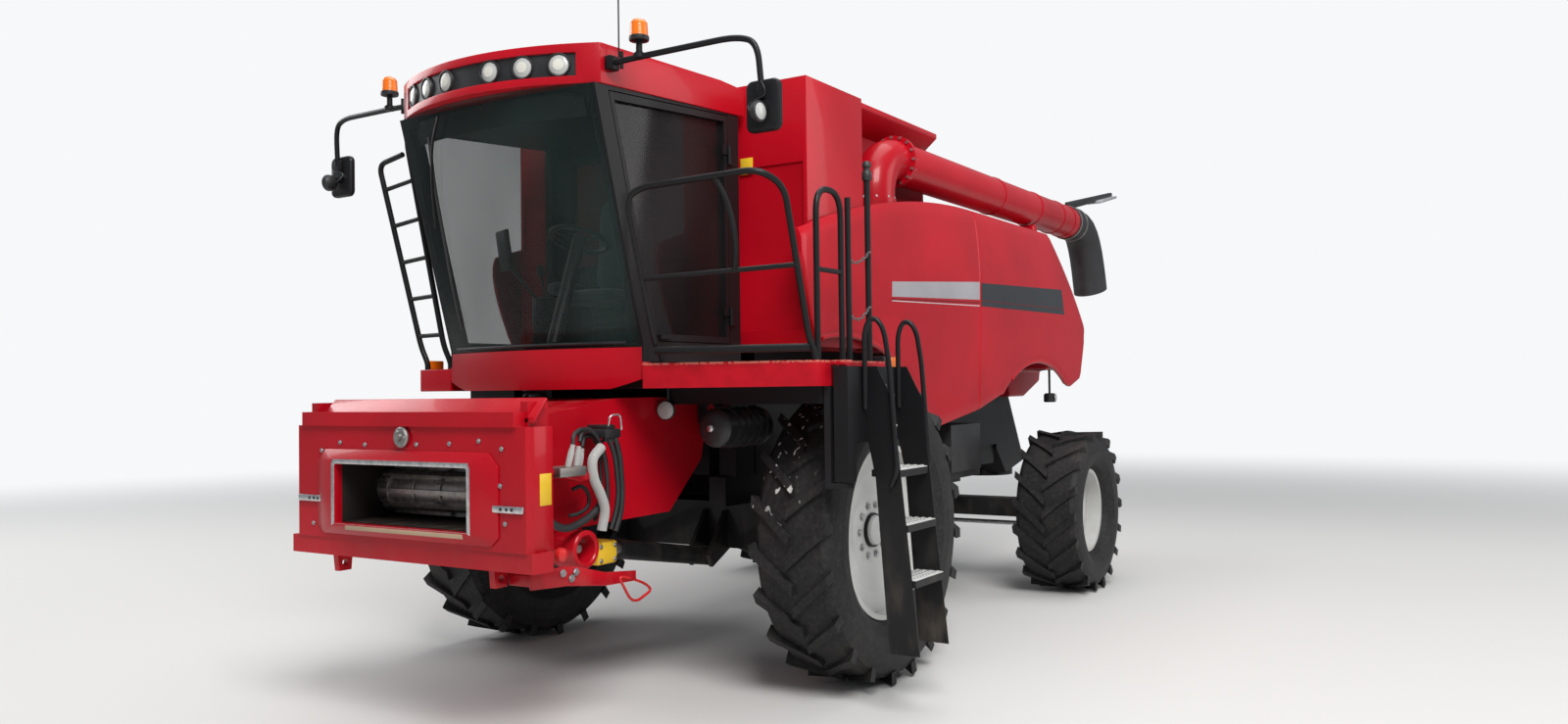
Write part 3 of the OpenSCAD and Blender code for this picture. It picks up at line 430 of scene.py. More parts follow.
@dataclass(frozen=True)
class Lens:
    """Lamp lens with a ribbed front."""

    name: str
    colour: tuple[float, float, float]
    glow: float = 0.0

    def make(self) -> bpy.types.Material:
        """Builds the material."""
        s = Shader(self.name)
        values = {"Vector": s.coords, "Scale": 40.0}
        ribs = s.node("ShaderNodeTexWave", {"bands_direction": "Z"}, values, 1)
        s.set(Base_Color=s.mix(s.noise(14.0), shade(self.colour, 0.8), self.colour))
        s.set(Roughness=0.22, Coat_Weight=0.35, Coat_Roughness=0.05, Emission_Strength=self.glow)
        s.set(Emission_Color=(*self.colour, 1.0))
        s.bump(ribs, 0.25, 0.002)
        return s.material


@dataclass(frozen=True)
class Cloth:
    """Woven seat cover with a twill grain."""

    name: str = "seat_cover"
    colour: tuple[float, float, float] = (0.09, 0.115, 0.13)

    def make(self) -> bpy.types.Material:
        """Builds the material."""
        s = Shader(self.name)
        values = {"Vector": s.coords, "Scale": 160.0}
        weave = s.node("ShaderNodeTexWave", {"bands_direction": "DIAGONAL"}, values, 1)
        cloth = s.mix(weave, shade(self.colour, 0.6), self.colour)
        s.set(Base_Color=cloth, Roughness=0.85, Sheen_Weight=0.35)
        s.bump(weave, 0.4, 0.0012)
        return s.material


class Finishes:
    """All the finishes by name, each made once."""

    RED = (0.47, 0.003, 0.012)

    def __init__(self) -> None:
        """Makes every finish."""
        kinds = [
            Paint("red_paint", self.RED),
            Paint("black_paint", (0.009, 0.009, 0.010), gloss=0.45, coat=0.1, dust=0.15),
            Paint("silver_paint", (0.62, 0.62, 0.60), gloss=0.4, coat=0.2, dust=0.3),
            Paint("stripe_silver", (0.40, 0.38, 0.40), dust=0.0),
            Paint("stripe_red", (0.16, 0.003, 0.008), dust=0.0),
            Paint("stripe_white", (0.66, 0.62, 0.62), dust=0.0),
            DeckPaint("deck_paint", self.RED),
            Paint("scraped_paint", (0.46, 0.33, 0.22), gloss=0.5, coat=0.05, dust=0.2),
            Plastic("red_plastic", (0.50, 0.012, 0.012), 0.35),
            Plastic("chain_plastic", (0.09, 0.09, 0.09), 0.4, 60.0),
            Plastic("lamp_shell", (0.30, 0.31, 0.32), 0.4, 120.0),
            Metal("bright_steel", (0.72, 0.72, 0.72), 0.24, 0.05),
            Metal("mirror_silver", (0.80, 0.82, 0.84), 0.03, 0.0),
            Paint("step_steel", (0.60, 0.60, 0.58), gloss=0.4, coat=0.0, dust=0.05),
            Tread("splashed_rubber", True),
            # Door glass: more opaque than the windscreen, with a slightly red tint that is a painted
            # reflection of the red tank box
            Pane("side_glass", (0.012, 0.010, 0.010), 0.62),
            Paint("stripe_dark", (0.03, 0.032, 0.036), dust=0.0),
            Paint("yellow_paint", (0.80, 0.50, 0.03), coat=0.2),
            Metal("drum_steel", (0.45, 0.43, 0.41), 0.35, 0.15),
            Paint("throat_steel", (0.022, 0.017, 0.015), gloss=0.55, coat=0.0, dust=0.1),
            Metal("bare_steel"),
            Metal("worn_steel", (0.40, 0.38, 0.36), 0.38, 0.45),
            Metal("exhaust_steel", (0.30, 0.27, 0.25), 0.45, 0.5),
            Tread(),
            Plastic("spout_rubber", (0.016, 0.016, 0.018), 0.55, 90.0),
            Plastic("black_plastic", (0.013, 0.013, 0.014), 0.42),
            Cloth("white_sleeve", (0.44, 0.43, 0.41)),
            Plastic("hose_rubber", (0.012, 0.012, 0.013), 0.5, 400.0),
            Pane(),
            Cloth(),
            Lens("lamp_clear", (0.50, 0.50, 0.48)),
            Lens("lamp_core", (0.72, 0.70, 0.62)),
            Lens("lamp_amber", (0.90, 0.18, 0.004), 0.02),
        ]
        self.by_name = {kind.name: kind.make() for kind in kinds}

    def __getitem__(self, name: str) -> bpy.types.Material:
        """The finish of that name."""
        return self.by_name[name]


# Mesh making


@contextmanager
def editing(mesh: bpy.types.Mesh) -> Iterator[bmesh.types.BMesh]:
    """Opens a mesh for editing and writes it back."""
    made = bmesh.new()
    made.from_mesh(mesh)
    yield made
    made.to_mesh(mesh)
    made.free()


def mesh_object(name: str, verts: list, faces: list) -> bpy.types.Object:
    """Makes a mesh object at the origin with its faces pointing outwards.

    Args:
        name: the piece's name.
        verts: points in the part's frame, in metres.
        faces: tuples of vertex numbers.

    Returns:
        The new object, linked to the scene.
    """
    mesh = bpy.data.meshes.new(name)
    mesh.from_pydata([tuple(v) for v in verts], [], faces)
    with editing(mesh) as made:
        bmesh.ops.remove_doubles(made, verts=made.verts, dist=1e-6)
        bmesh.ops.recalc_face_normals(made, faces=made.faces)
    return linked(name, mesh)


def smooth(obj: bpy.types.Object, angle: float = 35.0) -> bpy.types.Object:
    """Shades an object smooth with creases above an angle in degrees."""
    mesh = obj.data
    mesh.polygons.foreach_set("use_smooth", [True] * len(mesh.polygons))
    limit = math.radians(angle)
    with editing(mesh) as made:
        for edge in made.edges:
            edge.smooth = len(edge.link_faces) == 2 and edge.calc_face_angle(math.pi) < limit
    return obj


def ring_faces(rings: int, count: int, closed: bool = False) -> list[tuple[int, ...]]:
    """Faces between neighbouring rings of points.

    Args:
        rings: how many rings there are.
        count: points in each ring.
        closed: whether the last ring joins the first.

    Returns:
        The faces as tuples of point numbers.
    """
    faces = []
    for i in range(rings if closed else rings - 1):
        a, b = i * count, (i + 1) % rings * count
        faces += [(a + j, a + (j + 1) % count, b + (j + 1) % count, b + j) for j in range(count)]
    return faces


def prism(name: str, outline: list, lift: Vector) -> bpy.types.Object:
    """Extrudes a flat outline of points along a vector."""
    count = len(outline)
    verts = [Vector(p) for p in outline] + [Vector(p) + lift for p in outline]
    ends = [tuple(range(count)), tuple(range(2 * count - 1, count - 1, -1))]
    return mesh_object(name, verts, ends + ring_faces(2, count))


def cut_plate(name: str, outline: tuple, y: float, width: float, bevel: float) -> bpy.types.Object:
    """A plate cut along an outline, with its edges rounded off.

    Args:
        name: the piece's name.
        outline: X and Z of its corners in millimetres.
        y: its right face in millimetres.
        width: its width to the left in metres.
        bevel: width of the rounded edge in metres.

    Returns:
        The finished plate.
    """
    return round_edges(prism(name, [mm(x, y, z) for x, z in outline], LEFTWARD * width), bevel)


def box_piece(name: str, low: Vector, high: Vector, bevel: float) -> bpy.types.Object:
    """A block between two corners with its edges rounded off.

    Args:
        name: the piece's name.
        low: lowest corner.
        high: highest corner.
        bevel: width of the rounded edge.

    Returns:
        The finished block.
    """
    corners = ((low.x, low.y), (high.x, low.y), (high.x, high.y), (low.x, high.y))
    obj = prism(name, [(x, y, low.z) for x, y in corners], UP * (high.z - low.z))
    return round_edges(obj, bevel)


def bevel_sharp(made: bmesh.types.BMesh, width: float, segments: int, angle: float) -> None:
    """Rounds the edges of an open mesh that bend by more than an angle in degrees."""
    limit = math.radians(angle)
    sharp = [e for e in made.edges if len(e.link_faces) == 2 and e.calc_face_angle(0) > limit]
    bmesh.ops.bevel(
        made, geom=sharp, offset=width, segments=segments, profile=0.5, affect="EDGES", clamp_overlap=True
    )


def round_edges(obj: bpy.types.Object, width: float) -> bpy.types.Object:
    """Rounds the sharp edges of a mesh in place."""
    with editing(obj.data) as made:
        bevel_sharp(made, width, 2, 30.0)
    return smooth(obj)


def smooth_path(points: list[Vector], steps: int = 8) -> list[Vector]:
    """A Catmull-Rom curve through points.

    Args:
        points: the points that the curve passes.
        steps: how many stretches each span is cut into.

    Returns:
        The points along the curve.
    """
    ends = [points[0] * 2 - points[1], *points, points[-1] * 2 - points[-2]]
    path = []
    for a, b, c, d in zip(ends, ends[1:], ends[2:], ends[3:]):
        for i in range(steps):
            t = i / steps
            path.append(
                0.5 * ((2 * b) + (c - a) * t + (2 * a - 5 * b + 4 * c - d) * t * t
                       + (3 * b - a - 3 * c + d) * t ** 3)
            )
    return [*path, points[-1].copy()]


def bent_path(points: list[Vector], reach: float, steps: int = 7) -> list[Vector]:
    """A path of straight runs with its corners bent round.

    Args:
        points: the corners.
        reach: how far from a corner its bend begins, at most.
        steps: stretches in each bend.

    Returns:
        The points along the path.
    """
    path = [points[0]]
    for a, b, c in zip(points, points[1:], points[2:]):
        near = min(reach, (b - a).length * 0.45)
        far = min(reach, (c - b).length * 0.45)
        start, end = b + (a - b).normalized() * near, b + (c - b).normalized() * far
        for i in range(steps + 1):
            t = i / steps
            path.append(start * (1 - t) ** 2 + b * (2 * t * (1 - t)) + end * t ** 2)
    return [*path, points[-1]]


def tube(name: str, path: list[Vector], radius: float, sides: int = 12) -> bpy.types.Object:
    """A round tube along a path, closed at its ends.

    Args:
        name: the piece's name.
        path: points of the centre line.
        radius: the tube's radius.
        sides: faces round the tube.

    Returns:
        The tube, shaded smooth.
    """
    verts = []
    side = (path[1] - path[0]).orthogonal().normalized()
    for i, here in enumerate(path):
        ahead = (path[min(i + 1, len(path) - 1)] - path[max(i - 1, 0)]).normalized()
        side = (side - ahead * side.dot(ahead)).normalized()
        across = ahead.cross(side)
        for j in range(sides):
            a = 2 * math.pi * j / sides
            verts.append(here + (side * math.cos(a) + across * math.sin(a)) * radius)
    ends = [tuple(range(sides)), tuple(range(len(verts) - sides, len(verts)))]
    return smooth(mesh_object(name, verts, ring_faces(len(path), sides) + ends), 50.0)


def lathe(name: str, profile: tuple | list, where: Matrix, steps: int = 48) -> bpy.types.Object:
    """Turns a profile about the Z axis of a placing matrix.

    Args:
        name: the piece's name.
        profile: pairs of radius and height in metres, closed onto itself.
        where: the matrix that puts the turned shape in its place.
        steps: faces round the shape.

    Returns:
        The turned shape, shaded smooth.
    """
    verts = []
    for i in range(steps):
        a = 2 * math.pi * i / steps
        verts += [where @ Vector((r * math.cos(a), r * math.sin(a), h)) for r, h in profile]
    return smooth(mesh_object(name, verts, ring_faces(steps, len(profile), True)))


def facing(origin: Vector, normal: Vector, spin: float = 0.0) -> Matrix:
    """A matrix that puts the Z axis along a normal at a point."""
    turn = normal.normalized().to_track_quat("Z", "Y").to_matrix().to_4x4()
    return Matrix.Translation(origin) @ turn @ Matrix.Rotation(spin, 4, "Z")


def join(name: str, parts: list[bpy.types.Object]) -> bpy.types.Object:
    """Joins mesh objects into one, keeping their materials.

    Args:
        name: the joined piece's name.
        parts: the objects, which are used up.

    Returns:
        The joined object.
    """
    with bpy.context.temp_override(active_object=parts[0], selected_editable_objects=parts):
        bpy.ops.object.join()
    parts[0].name = name
    parts[0].data.name = name
    return parts[0]


# Trees that repeat small shapes


class Growth:
    """A Geometry Nodes tree that repeats a small shape and ends in a plain mesh."""

    def __init__(self, name: str, sizes: dict[str, float | int]) -> None:
        """Makes the tree with one named input for each size.

        Args:
            name: the tree's name.
            sizes: default value by name, whole numbers for counts.
        """
        self.tree = bpy.data.node_groups.new(name, "GeometryNodeTree")
        self.sizes = sizes
        face = self.tree.interface
        face.new_socket(name="Geometry", in_out="INPUT", socket_type="NodeSocketGeometry")
        for key, value in sizes.items():
            kind = "NodeSocketInt" if isinstance(value, int) else "NodeSocketFloat"
            face.new_socket(name=key, in_out="INPUT", socket_type=kind)
        face.new_socket(name="Geometry", in_out="OUTPUT", socket_type="NodeSocketGeometry")
        self.entry = self.tree.nodes.new("NodeGroupInput")
        self.exit = self.tree.nodes.new("NodeGroupOutput")

    def node(self, kind: str, settings: dict, values: dict, output: int | str = 0) -> bpy.types.NodeSocket:
        """Adds a node to the tree and hands back one output."""
        return add_node(self.tree, kind, settings, values, output)

    def size(self, name: str) -> bpy.types.NodeSocket:
        """The tree's input of that name."""
        return self.entry.outputs[name]

    def circle(self) -> bpy.types.NodeSocket:
        """Points on a circle of the tree's own radius."""
        values = {"Vertices": self.size("Count"), "Radius": self.size("Radius")}
        return self.node("GeometryNodeMeshCircle", {}, values)

    def finish(self, material: bpy.types.Material, **values: bpy.types.NodeSocket) -> Growth:
        """Puts a shape on points and ends the tree in Realize Instances and Set Material.

        Args:
            material: the finish of what grows.
            **values: the Points, the Instance and its Rotation.

        Returns:
            The finished tree.
        """
        spread = self.node("GeometryNodeInstanceOnPoints", {}, values)
        real = self.node("GeometryNodeRealizeInstances", {}, {0: spread})
        dressed = self.node("GeometryNodeSetMaterial", {}, {"Geometry": real, "Material": material})
        self.tree.links.new(dressed, self.exit.inputs[0])
        return self

    def grow(
        self, name: str, where: Matrix, base: bpy.types.Mesh | None = None, **sizes: float | int
    ) -> bpy.types.Object:
        """Runs the tree once and puts its mesh in place.

        Args:
            name: the piece's name.
            where: the matrix that puts the grown shape in its place.
            base: a mesh that the tree works on, where it needs one.
            **sizes: values for the tree's inputs that differ from the defaults.

        Returns:
            The grown piece as a plain mesh object.
        """
        obj = linked(name, base or bpy.data.meshes.new(name))
        modifier = obj.modifiers.new("grow", "NODES")
        modifier.node_group = self.tree
        for item in self.tree.interface.items_tree:
            if item.in_out == "INPUT" and item.name in self.sizes:
                modifier[item.identifier] = sizes.get(item.name, self.sizes[item.name])
        graph = bpy.context.evaluated_depsgraph_get()
        mesh = bpy.data.meshes.new_from_object(obj.evaluated_get(graph))
        obj.modifiers.clear()
        obj.data = mesh
        mesh.transform(where)
        return obj


class Hardware:
    """Bolts, step grips, strand teeth and chain links, each grown by a tree."""

    WASHER_HEIGHT = 0.003
    GRIP_HEIGHT = 0.004
    TOOTH = (0.030, 0.020, 0.040)
    LINK_STRETCH = (0.75, 1.0, 1.7)

    def __init__(self, finishes: Finishes) -> None:
        """Builds the trees."""
        self.ring = self._ring("bolt_ring", finishes["bare_steel"])
        self.spread = self._spread("bolt_field", finishes["bare_steel"])
        self.grips = self._grid("step_grip", finishes["step_steel"])
        self.pits = self._grid("step_pit", finishes["black_plastic"])
        self.teeth = self._teeth("strand_teeth", finishes["worn_steel"])
        self.chain = self._chain("chain_links", finishes["chain_plastic"])

    def _bolt(self, tree: Growth) -> bpy.types.NodeSocket:
        """One hexagon head standing on a washer."""
        both = tree.tree.nodes.new("GeometryNodeJoinGeometry")
        for sides, radius, depth in ((6, "Head", tree.size("Height")), (16, "Washer", self.WASHER_HEIGHT)):
            values = {"Vertices": sides, "Radius": tree.size(radius), "Depth": depth}
            tree.tree.links.new(tree.node("GeometryNodeMeshCylinder", {}, values), both.inputs[0])
        return both.outputs[0]

    def _ring(self, name: str, material: bpy.types.Material) -> Growth:
        """Bolts on a circle, facing +Z."""
        tree = Growth(name, {"Count": 8, "Radius": 0.1, "Head": 0.011, "Height": 0.014, "Washer": 0.016})
        return tree.finish(material, Points=tree.circle(), Instance=self._bolt(tree))

    def _teeth(self, name: str, material: bpy.types.Material) -> Growth:
        """Square teeth round a circle about +Z."""
        tree = Growth(name, {"Count": 14, "Radius": 0.124})
        spot = tree.node("GeometryNodeInputPosition", {}, {})
        turn = tree.node("FunctionNodeAlignRotationToVector", {"axis": "X"}, {"Vector": spot})
        tooth = tree.node("GeometryNodeMeshCube", {}, {"Size": self.TOOTH})
        return tree.finish(material, Points=tree.circle(), Instance=tooth, Rotation=turn)

    def _spread(self, name: str, material: bpy.types.Material) -> Growth:
        """Bolts on the points of a mesh, facing +Z."""
        tree = Growth(name, {"Head": 0.009, "Height": 0.014, "Washer": 0.013})
        return tree.finish(material, Points=tree.entry.outputs[0], Instance=self._bolt(tree))

    def _grid(self, name: str, material: bpy.types.Material) -> Growth:
        """Raised grip collars on a rectangle in X and Y."""
        sizes = {"Length": 0.31, "Width": 0.13, "Columns": 9, "Rows": 4, "Collar": 0.012, "Tip": 0.008}
        tree = Growth(name, sizes)
        spread = {"Size X": "Length", "Size Y": "Width", "Vertices X": "Columns", "Vertices Y": "Rows"}
        grid = tree.node("GeometryNodeMeshGrid", {}, {key: tree.size(size) for key, size in spread.items()})
        values = {"Vertices": 12, "Radius Top": tree.size("Tip"), "Radius Bottom": tree.size("Collar")}
        collar = tree.node("GeometryNodeMeshCone", {}, {**values, "Depth": self.GRIP_HEIGHT})
        return tree.finish(material, Points=grid, Instance=collar)

    def _chain(self, name: str, material: bpy.types.Material) -> Growth:
        """Oval links along a path of edges, every other one turned by a quarter."""
        tree = Growth(name, {"Pitch": 0.03, "Wire": 0.0035, "Link": 0.011})
        path = tree.node("GeometryNodeMeshToCurve", {}, {0: tree.entry.outputs[0]})
        values = {"Curve": path, "Length": tree.size("Pitch")}
        points = tree.node("GeometryNodeCurveToPoints", {"mode": "LENGTH"}, values, "Points")
        circles = []
        for sides, radius in ((12, "Link"), (6, "Wire")):
            values = {"Resolution": sides, "Radius": tree.size(radius)}
            circles.append(tree.node("GeometryNodeCurvePrimitiveCircle", {}, values))
        values = {"Geometry": circles[0], "Scale": self.LINK_STRETCH, "Rotation": (math.pi / 2, 0, 0)}
        oval = tree.node("GeometryNodeTransform", {}, values)
        link = tree.node("GeometryNodeCurveToMesh", {}, {"Curve": oval, "Profile Curve": circles[1]})
        index = tree.node("GeometryNodeInputIndex", {}, {})
        quarter = tree.node("ShaderNodeMath", {"operation": "MULTIPLY"}, {0: index, 1: math.pi / 2})
        twist = tree.node("ShaderNodeCombineXYZ", {}, {"Z": quarter})
        values = {0: points.node.outputs["Rotation"], 1: twist}
        turn = tree.node("FunctionNodeRotateRotation", {"rotation_space": "LOCAL"}, values)
        return tree.finish(material, Points=points, Instance=link, Rotation=turn)


# Pieces of the machine


@dataclass
class SubAssembly:
    """A part of the machine whose pieces ride on its bodies."""

    finishes: Finishes
    hardware: Hardware
    sight: Sight
    nodes: dict
    slots: dict
    made: list[bpy.types.Object] = field(default_factory=list)

    def add(
        self, obj: bpy.types.Object, body: str, slot: str, finish: str | None = None, node: str | None = None
    ) -> bpy.types.Object:
        """Dresses a piece that has no finish of its own and lets it ride on a body.

        Args:
            obj: the piece, in place.
            body: the body that it moves with.
            slot: the record's slot that it belongs to.
            finish: its finish, where that isn't the slot's own.
            node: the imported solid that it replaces, where it does.

        Returns:
            The piece.
        """
        if finish or not obj.data.materials:
            obj.data.materials.clear()
            obj.data.materials.append(self.finishes[finish or slot])
        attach(obj, body)
        if node:
            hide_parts(node)
        self.made.append(obj)
        return obj

    def block(self, name: str, low: tuple, high: tuple, bevel: float, *dress: str) -> None:
        """Adds a block between two corners.

        Args:
            name: the piece's name.
            low: lowest corner in millimetres.
            high: highest corner in millimetres.
            bevel: width of the rounded edge in metres.
            *dress: its body, slot and finish, as add takes them.
        """
        self.add(box_piece(name, mm(*low), mm(*high), bevel), *dress)

    def bolts(self, name: str, body: str, face: Matrix, points: list[Vector], **sizes: float) -> None:
        """Adds bolts at points of a face.

        Args:
            name: the piece's name.
            body: the body that it moves with.
            face: the matrix that turns the Z axis out of the face.
            points: the bolts' places.
            **sizes: head, height and washer, where they differ from the tree's.
        """
        turn = face.inverted()
        base = base_mesh(f"{name}_base", [turn @ point for point in points])
        self.add(self.hardware.spread.grow(name, face, base, **sizes), body, "bare_steel")

    def build(self) -> None:
        """Makes the sub-assembly's pieces."""
        raise NotImplementedError


@dataclass
class Solids(SubAssembly):
    """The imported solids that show, each with the finish of its slot or one of its own."""

    special: dict = field(default_factory=lambda: {
        "feeder_chain": "drum_steel",
        "left_deck": "deck_paint",
        # the door's glass takes the tint with the painted red reflection
        "door_glass": "side_glass",
        "front_left_tyre": "splashed_rubber",
    })

    def build(self) -> None:
        """Assigns a material to every node."""
        for name, obj in self.nodes.items():
            obj.data.materials.clear()
            obj.data.materials.append(self.finishes[self.special.get(name, self.slots[name])])


class Sight:
    """The photograph's camera, which finds the point of a solid behind a pixel."""

    def __init__(self, eye: Vector, yaw: float, pitch: float, roll: float) -> None:
        """Works out the camera's three axes.

        Args:
            eye: the camera's place.
            yaw: heading in radians.
            pitch: rise in radians.
            roll: tilt in radians.
        """
        self.eye = eye
        flat = math.cos(pitch)
        self.ahead = Vector((math.cos(yaw) * flat, math.sin(yaw) * flat, math.sin(pitch)))
        right = self.ahead.cross(UP).normalized()
        up = right.cross(self.ahead)
        self.right = right * math.cos(roll) + up * math.sin(roll)
        self.up = up * math.cos(roll) - right * math.sin(roll)

    def toward(self, px: float, py: float) -> Vector:
        """Direction from the eye through a pixel of the 1600 by 739 picture."""
        across = (px - PHOTO_WIDTH / 2) / FOCAL_PX
        down = (py - PHOTO_HEIGHT / 2) / FOCAL_PX
        return (self.ahead + self.right * across - self.up * down).normalized()

    def on(self, solid: bpy.types.Object, px: float, py: float, lift: float = 0.0) -> Vector:
        """The point of a solid that a pixel shows.

        Args:
            solid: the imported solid.
            px: pixel column.
            py: pixel row.
            lift: distance that the point stands off the surface, in metres.

        Returns:
            The point.
        """
        hit, point, normal, _ = solid.ray_cast(self.eye, self.toward(px, py))
        if not hit:
            raise ValueError(f"{solid.name} isn't behind pixel {px}, {py}")
        return point + normal * lift


def landing(solid: bpy.types.Object, start: Vector, way: Vector) -> Vector:
    """Where a straight line meets a solid.

    Args:
        solid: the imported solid.
        start: where the line starts.
        way: the line's direction.

    Returns:
        The point.
    """
    hit, point, _, _ = solid.ray_cast(start, way)
    if not hit:
        raise ValueError(f"{solid.name} isn't in the way")
    return point


def band(name: str, rows: list[list[Vector]], inward: Vector) -> bpy.types.Object:
    """A thin closed skin over a grid of points.

    Args:
        name: the piece's name.
        rows: rows of points with the same number in each.
        inward: the skin's thickness as a vector.

    Returns:
        The skin, shaded smooth.
    """
    count = len(rows[0])
    flat = [point for row in rows for point in row]
    size = len(flat)
    verts = flat + [point + inward for point in flat]
    faces = []
    for i in range(len(rows) - 1):
        for j in range(count - 1):
            a, b = i * count + j, (i + 1) * count + j
            faces.append((a, a + 1, b + 1, b))
            faces.append((size + b, size + b + 1, size + a + 1, size + a))
    last = (len(rows) - 1) * count
    edge = list(range(count)) + [i * count + count - 1 for i in range(1, len(rows))]
    edge += list(range(last + count - 2, last - 1, -1)) + [i * count for i in range(len(rows) - 2, 0, -1)]
    faces += [(a, size + a, size + b, b) for a, b in zip(edge, edge[1:] + edge[:1])]
    return smooth(mesh_object(name, verts, faces), 40.0)


def cushion(
    name: str, half: Vector, where: Matrix, channels: tuple[float, ...] = (), pull: float = 0.05
) -> bpy.types.Object:
    """A stuffed form with crowned faces, sides pulled in between its corners and sewn channels.

    Args:
        name: the piece's name.
        half: half of its length, width and thickness.
        where: the matrix that puts it in its place.
        channels: places of the channels along its length, from -1 to 1.
        pull: share by which the sides pull in.

    Returns:
        The cushion, shaded smooth.
    """
    mesh = bpy.data.meshes.new(name)
    with editing(mesh) as made:
        bmesh.ops.create_cube(made, size=2.0)
        bmesh.ops.subdivide_edges(made, edges=made.edges[:], cuts=26, use_grid_fill=True)
        for vert in made.verts:
            x, y, z = vert.co
            size = (abs(x) ** 6 + abs(y) ** 6 + abs(z) ** 6) ** (1 / 6)
            x, y, z = x / size, y / size, z / size
            thick = 1.0 - 0.30 * abs(x) ** 4 - 0.22 * abs(y) ** 4
            for at in channels:
                thick -= 0.16 * math.exp(-(((x - at) / 0.035) ** 2))
            seam = 0.05 * math.exp(-((z / 0.06) ** 2))
            x, y = x * (1 - pull * (1 - y * y) - seam), y * (1 - pull * (1 - x * x) - seam)
            vert.co = where @ Vector((x * half.x, y * half.y, z * thick * half.z))
        bmesh.ops.recalc_face_normals(made, faces=made.faces)
    mesh.polygons.foreach_set("use_smooth", [True] * len(mesh.polygons))
    return linked(name, mesh)


def base_mesh(name: str, points: list[Vector], joined: bool = False) -> bpy.types.Mesh:
    """A mesh of loose points for a tree to work on, or of the edges that join them in turn."""
    mesh = bpy.data.meshes.new(name)
    edges = [(i, i + 1) for i in range(len(points) - 1)] if joined else []
    mesh.from_pydata([tuple(p) for p in points], edges, [])
    return mesh


def run_length(path: list[Vector]) -> float:
    """Length of a path."""
    return sum((b - a).length for a, b in zip(path, path[1:]))


@dataclass(frozen=True)
class WheelSize:
    """Places and sizes of the fastenings on a pair of wheels, in millimetres."""

    name: str
    x: float
    z: float
    face: float
    bolt_circle: float
    bolts: int
    cap: float
    cap_face: float
    valve: float


@dataclass
class Wheels(SubAssembly):
    """Wheel bolts, hub caps and valves."""

    sizes: tuple[WheelSize, ...] = (
        WheelSize("front", 0, 955, 1530, 165, 10, 96, 1550, 470),
        WheelSize("rear", -3810, 725, 1587, 110, 8, 58, 1617, 300),
    )
    dome: tuple = (
        (0, -0.004), (1, -0.004), (1, 0.010), (0.93, 0.022), (0.6, 0.034), (0.3, 0.038), (0, 0.039),
    )
    stem: tuple = ((0, 0), (0.03, 0), (0.045, 0.02), (0.05, 0.05))

    def build(self) -> None:
        """Dresses the four wheels."""
        for size in self.sizes:
            for side in Side:
                self.wheel(size, side)

    def wheel(self, size: WheelSize, side: Side) -> None:
        """Puts bolts, a cap and a valve on one wheel."""
        sign, out = side.value, side.out
        name = f"{size.name}_{side.word}"
        body = f"{name}_wheel"
        face = facing(mm(size.x, sign * (size.face + 6), size.z), out)
        sizes = {"Count": size.bolts, "Radius": size.bolt_circle / 1000, "Head": 0.017, "Height": 0.022}
        bolts = self.hardware.ring.grow(f"{name}_wheel_bolts", face, Washer=0.024, **sizes)
        self.add(bolts, body, "bare_steel")
        dome = [(size.cap / 1000 * share, height) for share, height in self.dome]
        cap = lathe(f"{name}_hub_cap", dome, facing(mm(size.x, sign * size.cap_face, size.z), out), 40)
        self.add(cap, body, "silver_paint")
        start = mm(size.x + size.valve, sign * (size.face - 8), size.z + 12)
        path = [start + out * far + AHEAD * along for far, along in self.stem]
        self.add(tube(f"{name}_valve", smooth_path(path, 4), 0.006, 8), body, "bare_steel")


